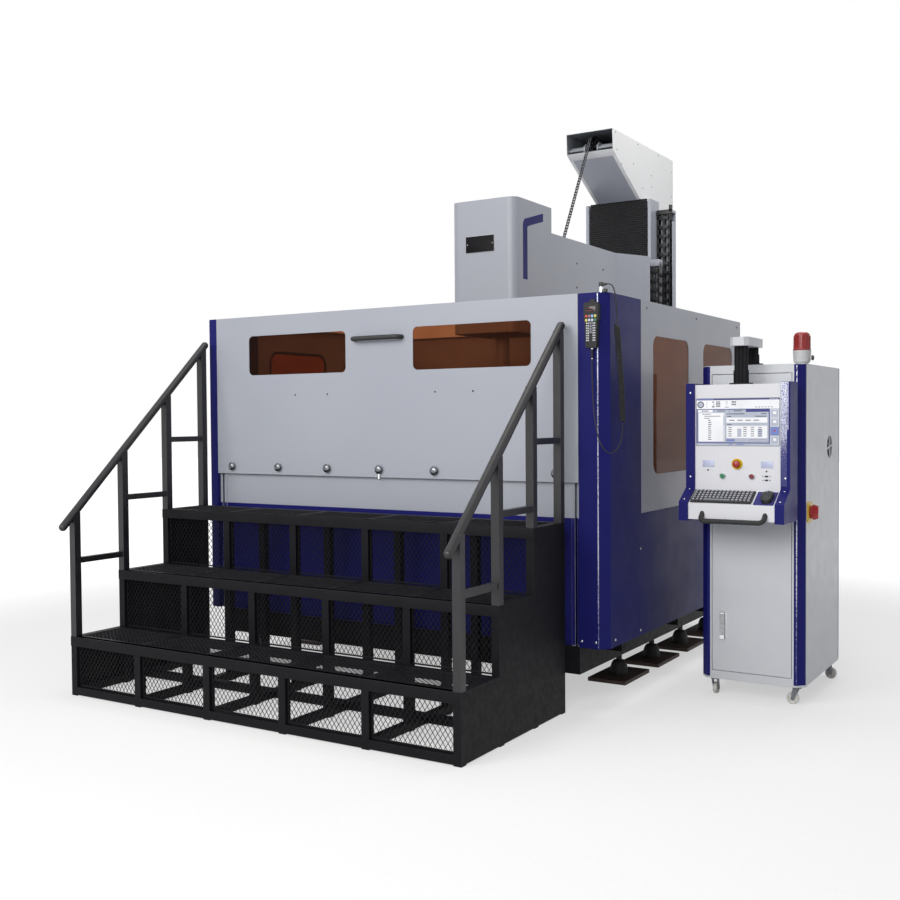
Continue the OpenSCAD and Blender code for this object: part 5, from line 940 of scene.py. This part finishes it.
def makeKeyboard():
    # all in the shelf's own frame: e1 across, e2 up the slope, e3 off it
    lean = np.arctan2(console["shelfDrop"], console["shelfOut"])
    origin = np.array([console["x"], console["face"], console["mid"]], float)
    e1, e2 = np.array([1.0, 0, 0]), np.array([0, np.cos(lean), np.sin(lean)])
    axes = (e1, e2, np.cross(e1, e2))

    def onShelf(shape, places):
        return copies(shape, origin + np.asarray(places, float) @ np.stack(axes), *axes)

    border, base, share = keyboard["border"], keyboard["base"], keyboard["share"]
    pitch = np.array([(keyboard["width"] - 2 * border) / keyboard["cols"],
                      (keyboard["depth"] - 2 * border) / keyboard["rows"]])
    near = np.array([keyboard["left"], keyboard["near"]]) + border
    col, row = cells(keyboard["cols"], keyboard["rows"])
    # the nearest row has a space bar between its single keys
    single = (row > 0) | (col < keyboard["split"][0]) | (col > keyboard["split"][1])
    middle = np.stack([near[0] + (col + 0.5) * pitch[0], near[1] + (row + 0.5) * pitch[1],
                       np.full(len(col), base)], -1)[single]
    # cap: a rounded rectangle that draws in to its dished top
    cap = [(-0.5, 0), (-0.3, 1), (1.2, 5), (1.8, 5.6), (2.6, 5.8), (5.2, 5.2)]
    one = slabs((0, 0, 0), share * pitch[0], share * pitch[1], 2.2, cap, toTop, steps=2)
    space = slabs((0, 0, 0), keyboard["space"] * pitch[0], share * pitch[1], 2.2, cap, toTop, steps=3)
    putMesh("keyCaps", [onShelf(one, middle), onShelf(space, [(*(near + keyboard["spaceAt"] * pitch), base)])],
            "keyGrey", "console")
    # a short pale stroke on each cap
    stroke = boxes((-3.6, -1.6, 5.0), (3.8, 2.0, 6.0))
    putMesh("keyStrokes", [onShelf(stroke, middle + (-1.2, 2.2, 0))], "keyLegend", "console")
    # the mouse's pad, its wheel, and the seam between its two buttons
    pad = slabs((0, 0, 0), *mouse["padSize"], 5, softRows(1.6, 0.5), toTop)
    putMesh("mousePad", [onShelf(pad, [mouse["pad"]])], "padCloth", "console")
    wheel = turned([(-3, 4), (-2.4, 5.2), (2.4, 5.2), (3, 4)], [(0, 0, 0)], toRight, 20)
    seam = boxes((-0.5, -16, -6), (0.5, 12, 3.2))
    putMesh("mouseWheel", [onShelf(wheel, [mouse["wheel"]]), onShelf(seam, [mouse["seam"]])], "greyAbs", "console")


def makeConsole():
    x, face = console["x"], console["face"]

    def onFace(places):
        return np.array([(x + across, face, z) for across, z in places])

    # yellow collar of the emergency stop, chromed rings of the two buttons
    putMesh("stopCollar", [turned([(4, 27), (5.6, 27), (6.4, 26), (6.4, 20), (5.8, 19), (5.4, 9.5), (4, 9.5)],
                                  onFace(console["stop"]), toFront, 40, ring=True)], "yellowCap", "console")
    putMesh("buttonRings", [turned([(0, 15.4), (5, 15.4), (6.4, 14), (6.4, 12.2), (5, 11.5), (0, 11.5)],
                                   onFace(console["rings"]), toFront, 32, ring=True)], "groundSteel", "console")
    # blank label plates, then the sight glasses of two lamps and two sockets with their screws
    putMesh("labelPlates", [slabs(onFace(console["labels"]), 60, 33, 2, softRows(1, 0.4), toFront)], "paleLabel",
            "console")
    socketsAt = onFace(console["sockets"])
    putMesh("consoleSockets", [
        slabs(socketsAt, 17, 8, 1.5, [(0, 0), (0, 1.4), (0.6, 1.8), (2, 1.8), (2, 0.2)], toFront, ring=True),
        slabs(socketsAt, 13.5, 4.5, 0.5, softRows(0.9, 0.3), toFront),
        turned([(0, 4.4), (1, 4.4), (1.6, 3.6), (1.2, 2), (1.2, 0.2)], onFace(console["lamps"]), toFront, 16),
        screwHeads(np.concatenate([socketsAt + (side * 17, 0, 0) for side in (-1, 1)]), toFront, 2.6, 1.4)],
        "blackAbs", "console")
    # cheek screws, on the front and on the slope beside the shelf
    slope = np.array([0, -console["shelfOut"], -console["shelfDrop"]])
    slope = slope / np.hypot(console["shelfOut"], console["shelfDrop"])
    cheekX = x + np.array([-1, 1]) * (console["half"] + console["cheek"] / 2)
    front = face - console["cheekFront"]
    start = np.array([0, front, console["mid"] + 11.2])
    putMesh("cheekScrews", [screwHeads([(cx, front, z) for cx in cheekX for z in console["screwZ"]], toFront, 5, 2.4),
                            screwHeads([start + (cx, 0, 0) + t * slope for cx in cheekX for t in console["screwRun"]],
                                       (0, slope[2], -slope[1]), 5, 2.4)], "chromePlate", "console")
    # painted reflection of pale speckle on the right cheek's front: a broad field, and a narrow one along the edge
    left = x + console["half"]
    putMesh("cheekHighlightPatches", [boxes((left + start, front - out, low), (left + end, front + 0.1, console["highlightSpeckleTop"]))
                            for start, end, out, low in console["highlightSpeckle"]], "cheekFlake", "console")
    makeScreen()
    makeKeyboard()
    print("console made")


pendant = {"x": -69, "face": -28, "bottom": 1781, "display": (54, 30, 1968), "reliefY": -14, "keyPitch": (15.5, 19),
           "keysZ": 1934, "padPitch": (8.4, 11.8), "padZ": 1900, "jogZ": 1899, "jogPitch": 14}
socket = {"x": -40, "y": 30, "foot": 2050, "cap": 2079, "spout": 2090}


def makePendant():
    x, face = pendant["x"], pendant["face"]
    wide, tall, z = pendant["display"]
    putMesh("pendantDisplay", [(*slabs((x, face, z), wide, tall, 3, [(0, 0), (0, 0.8), (2.4, 0.8), (2.4, 0.1)],
                                       toFront, ring=True), 0),
                               (*slabs((x, face + 0.2, z), wide - 3, tall - 3, 1, softRows(0.6, 0.3), toFront), 1)],
            ["blackAbs", "darkGlass"])
    # short lit strokes behind the glass, in two rows of four
    t = np.arange(8)
    left, top = x - 22 + 12 * (t % 4), z + 6 - 12 * (t // 4)
    putMesh("pendantMarks", [boxes(np.stack([left, 0 * left + face - 0.75, top - 2.4], -1),
                                   np.stack([left + 3 + 3 * (t % 3), 0 * left + face - 0.2, top], -1))],
            "screenRed")
    # two rows of coloured keys, then the dark key block with the jog keys in its middle
    names = ["keyRed", "keyMauve", "keySky", "keyYellow", "paleLabel", "keyGreen"]
    across, down = pendant["keyPitch"]
    putMesh("pendantKeys", [(*slabs((x + across * (i - 1.5), face, pendant["keysZ"] - down * row), 11.5, 12.5, 2.4,
                                    softRows(2, 0.8), toFront, steps=3), look)
                            for row, looks in enumerate(((0, 1, 2, 3), (3, 4, 4, 5))) for i, look in enumerate(looks)],
            names)
    i, j = cells(6, 8)
    beside = (i < 2) | (i > 3)
    across, down = pendant["padPitch"]
    places = np.stack([x + across * (i - 2.5), 0 * i + face, pendant["padZ"] - down * j], -1)[beside]
    putMesh("pendantPad", [slabs(places, 6, 6.8, 1.2, softRows(1.4, 0.5), toFront, steps=2)], "keyLegend")
    putMesh("pendantJog", [turned([(0, 6.4), (1.6, 6.4), (2.4, 5.4), (2.4, 0.3)],
                                  [(x, face, pendant["jogZ"] - pendant["jogPitch"] * k) for k in range(4)], toFront,
                                  20)], "keyGrey")
    # chromed sleeve that tapers onto the cord, and the socket's chromed post with its cap and clamp
    at, y = socket["x"], socket["y"]
    sleeve = turned([(0, 6), (3, 6.4), (6, 6), (40, 5), (46, 4.8), (53, 3.5)],
                    [(x, pendant["reliefY"], pendant["bottom"])], toFloor, 24)
    post = turned([(0, 12), (4, 12), (5, 9.3), (31, 9.3), (32, 8.8)], [(at, y, socket["foot"])], toTop, 28)
    putMesh("pendantChrome", [sleeve, post], "chromePlate")
    cap = turned([(0, 10), (1, 11.4), (19, 11.4), (21, 10), (21.4, 6)], [(at, y, socket["cap"])], toTop, 28)
    spout = turned([(0, 8), (16, 8), (22, 7), (30, 4.2)], [(at + 2, y, socket["spout"])], toRight, 20)
    clamp = slabs((at + 23, y, socket["foot"]), 16, 22, 3, softRows(17, 2), toTop)
    putMesh("socketCap", [cap, spout, clamp], "blackAbs")
    print("pendant made")


cabinet = {"right": 785, "front": 595, "bottom": 110, "top": 1701, "post": 34, "latch": (379, 379),
           "latchSize": (37, 148)}
beacon = {"x": 741, "y": 730, "lens": 1774, "radius": 40.2, "ribs": 28, "rib": 2.4, "ribLow": 9, "ribTall": 62,
          "taper": 0.012, "knob": (49, 1736)}


def highlightStrip(name, outline, corner, tall):
    # painted highlight of pale speckle along an upright fold; outline is the strip's section from the fold
    putMesh(name, [extruded(np.array(outline), corner, toRight, toBack, tall)], "foldFlake")


def makeCabinet():
    c = cabinet
    # painted highlight along the fold between the right front post's flat and its slope
    highlightStrip("postPaintedHighlight", [(3, 0.4), (3, -0.5), (6.5, -0.5), (7.9, 0.9), (7.2, 1.7)],
               (c["right"] - c["post"] - 6, c["front"], c["bottom"] + 6), c["top"] - c["bottom"] - 12)
    # raised frame around the door's lever and its keyhole
    putMesh("latchFrame", [slabs((c["latch"][0], c["front"], c["latch"][1]), *c["latchSize"], 8,
                                 [(0, 0), (0, 2), (1, 3), (3.5, 3), (4.5, 2), (4.5, 0)], toFront, ring=True)],
            "chromePlate", "cabinet_door")
    # ribs of the beacon's lens, its clamp ring and the knob on its foot
    lensAt = np.array([beacon["x"], beacon["y"], beacon["lens"]], float)
    t = angles(beacon["ribs"])
    ribs = np.stack([beacon["radius"] * np.cos(t), beacon["radius"] * np.sin(t), 0 * t + beacon["ribLow"]], -1) + lensAt
    tips = ribs + (0, 0, beacon["ribTall"]) - (ribs - lensAt) * (beacon["taper"], beacon["taper"], 0)
    putMesh("beaconRibs", [bars(ribs, tips, beacon["rib"], beacon["rib"], (1, 0.01, 0)),
                           turned([(0, 42.6), (2, 44), (6, 44), (8, 42), (8, 40), (0, 40)], [lensAt], toTop, 48,
                                  ring=True)], "lensRed")
    out, up = beacon["knob"]
    putMesh("beaconKnob", [turned([(0, 13), (6, 13), (9, 10.5), (9.8, 3)], [(beacon["x"] + out, beacon["y"], up)],
                                  toRight, 20)], "blackAbs")
    print("cabinet made")


column = {"fold": -45, "bottom": 320, "top": 2046, "sideScrews": [(0, 427, 768), (0, 427, 346), (0, 100, 352)],
          "frontScrews": [(-60, 0, 350), (-135, 0, 350)],
          "wallScrews": [(0, 520, 2012), (0, 1290, 2012), (0, 2060, 2012)]}
rail = {"y": 22, "inner": 54, "lip": 17, "wide": 40, "apart": 31.5, "edges": (-2522.8, -188.8), "bottom": 320,
        "top": 950}
door = {"plugX": (-1926, -1694, -978, -745), "plugZ": 1587, "pin": (-1340, -6, 1150)}


def makeEnclosureTrim():
    # painted highlight of pale speckle along the column's front fold
    highlightStrip("columnPaintedHighlight", [(-3.5, 0.3), (-3.5, -0.6), (0, -0.6), (1.6, 1), (0.9, 1.8)],
               (column["fold"], 0, column["bottom"]), column["top"] - column["bottom"])
    putMesh("columnScrews", [screwHeads(column["sideScrews"], toRight, 7, 3),
                             screwHeads(column["frontScrews"], toFront, 6, 3)], "chromePlate")
    putMesh("wallScrews", [screwHeads(column["wallScrews"], toRight, 6, 2.6)], "oiledSteel")
    # blue strips on the lips and on the inner wall of the door's rails, below the joint of the skirts
    tall, middle = rail["top"] - rail["bottom"], (rail["bottom"] + rail["top"]) / 2
    strips = [slabs((x, y, middle), wide, tall, 0.4, softRows(0.8, 0.2), toFront) for edge in rail["edges"]
              for x, y, wide in ((edge, rail["y"], rail["lip"]), (edge + rail["apart"], rail["y"], rail["lip"]),
                                 (edge + rail["apart"] / 2, rail["inner"], rail["wide"]))]
    putMesh("railStrips", strips, "navyEnamel")
    # rubber plugs in spare holes of the door, and a pin that hangs on its front
    plugs = [(x, 0, door["plugZ"]) for x in door["plugX"]]
    putMesh("doorPlugs", [turned([(-0.4, 5), (0.8, 5), (1.2, 4), (0.9, 2.4), (0.9, 0.2)], plugs, toFront, 16)],
            "mattRubber", "door")
    putMesh("doorPin", [turned([(0, 3), (2, 4), (26, 4), (30, 5.6), (34, 4), (36, 1)], [door["pin"]], toFloor, 16)],
            "chromePlate", "door")


hood = {"x": -1315, "wide": 374, "lip": (2713, 3430), "front": (2770, 3394), "back": (3245, 3146), "sideX": 187.5,
        "panel": 324,
        "rivets": [(2790, 3440), (2880, 3350), (3110, 3395), (3480, 3370), (3480, 3280), (3480, 3110), (3940, 3480),
                   (3940, 3280), (3940, 3020), (2760, 3560), (3200, 3560), (3640, 3560), (3300, 3240)]}
arm = {"sides": (-1082.5, -1547.5), "bolts": [(1987, 2497), (2424, 2503), (1985, 2334)]}
plate = {"at": (-1334, 1100, 2537), "size": (208, 106), "border": 5, "screw": 90}
bracket = {"plate": (-971, 3356, 3047), "upright": (-920, 3356, 3072),
           "screws": [(-1020, 3351, 3047), (-971, 3351, 3047), (-922, 3351, 3047)]}


def underSheet(start, end, width, thick):
    # flat sheet laid against the hood's underside: from start to end (y, z), its face turned down and forward
    along = np.subtract(end, start)
    length = np.hypot(*along)
    e2 = np.array([0, *along]) / length
    middle = (hood["x"], *np.add(start, end) / 2)
    sheet = slabs((0, 0, 0), width, length - 0.5, 1, softRows(thick, 0.4), toTop)
    return copies(sheet, middle, toLeft, e2, np.cross(toLeft, e2))


def makeHeadTrim():
    # pop rivets in the hood's side sheets
    for name, way in (("hoodRivetsRight", 1), ("hoodRivetsLeft", -1)):
        places = [(hood["x"] + way * hood["sideX"], y, z) for y, z in hood["rivets"]]
        putMesh(name, [turned([(0, 5), (1.4, 4.6), (2.4, 3), (2.6, 0.4)], places, (way, 0, 0), 12)], "oiledSteel")
    putMesh("armBolts", [screwHeads([(x, y, z) for y, z in arm["bolts"]], way, 7, 3)
                         for x, way in zip(arm["sides"], (toRight, toLeft))], "oiledSteel", "arm")
    # white lips folded round the hood's underside, and the grey floor sheet between them
    putMesh("hoodLips", [underSheet(hood["lip"], hood["front"], hood["wide"], 1.2),
                         underSheet(hood["front"], hood["back"], hood["wide"], 1.2)], "hoodLip")
    putMesh("hoodFloorPanel", [underSheet(hood["front"], hood["back"], hood["panel"], 3.2)], "slateEnamel")
    # black bracket that clamps the drag chain's fixed end
    putMesh("chainBracket", [slabs(bracket["plate"], 130, 34, 3, softRows(5, 1.5), toFront),
                             slabs(bracket["upright"], 28, 52, 3, softRows(5, 1.5), toFront),
                             screwHeads(bracket["screws"], toFront, 5, 2.5)], "blackAbs")
    # the head's blank plate: a pale rim, a dark field and two screws
    at, (wide, tall) = np.array(plate["at"], float), plate["size"]
    putMesh("headPlate", [(*slabs(at, wide, tall, 3, softRows(2.4, 0.8), toFront), 0),
                          (*slabs(at - (0, 2.3, 0), wide - plate["border"], tall - plate["border"], 2,
                                  softRows(0.8, 0.3), toFront), 1),
                          (*screwHeads([at + (side * plate["screw"], -3, 0) for side in (-1, 1)], toFront, 3.4, 1.6),
                           0)], ["paleAbs", "stairEnamel"], "arm")
    print("fastenings made")


backCovers = {  # name: middle, width and height, look; the cabinet's has pressed louvres above and below
    "columnCover": ((-1315, 3968, 2080), (290, 1180), "slateEnamel"),
    "cabinetCover": ((525, 1395, 905), (420, 1440), "paleEnamel"),
}
louvre = {"count": 9, "pitch": 26, "first": 1.5, "edge": 40, "size": (250, 9)}


def makeBackCovers():
    # plain covers behind the column and the cabinet, with eight screws each
    for name, (at, (wide, tall), look) in backCovers.items():
        at = np.array(at, float)
        screws = [at + (x * (wide / 2 - 14), 2, z * (tall / 2 - 14)) for x in (-1, 1) for z in (-1, -0.34, 0.34, 1)]
        shapes = [(*slabs(at, wide, tall, 8, softRows(2.4, 1), toBack), 0), (*screwHeads(screws, toBack, 5, 2.4), 1)]
        if name == "cabinetCover":
            rise = louvre["pitch"] * (np.arange(louvre["count"]) + louvre["first"])
            low = louvre["edge"] - tall / 2
            places = [at + (0, 2, z) for z in (*(-low - rise), *(low + rise))]
            shapes.append((*slabs(places, *louvre["size"], 4, softRows(4, 2.5), toBack), 0))
        putMesh(name, shapes, [look, "oiledSteel"])
    print("back covers made")


makeMaterials()
makeCord()
makeStudio()
dressNodes()
makeStair()
makeDragChain()
makeBellows()
makeLiftChain()
makeHeadStripe()
makeConsole()
makePendant()
makeCabinet()
makeEnclosureTrim()
makeHeadTrim()
makeBackCovers()
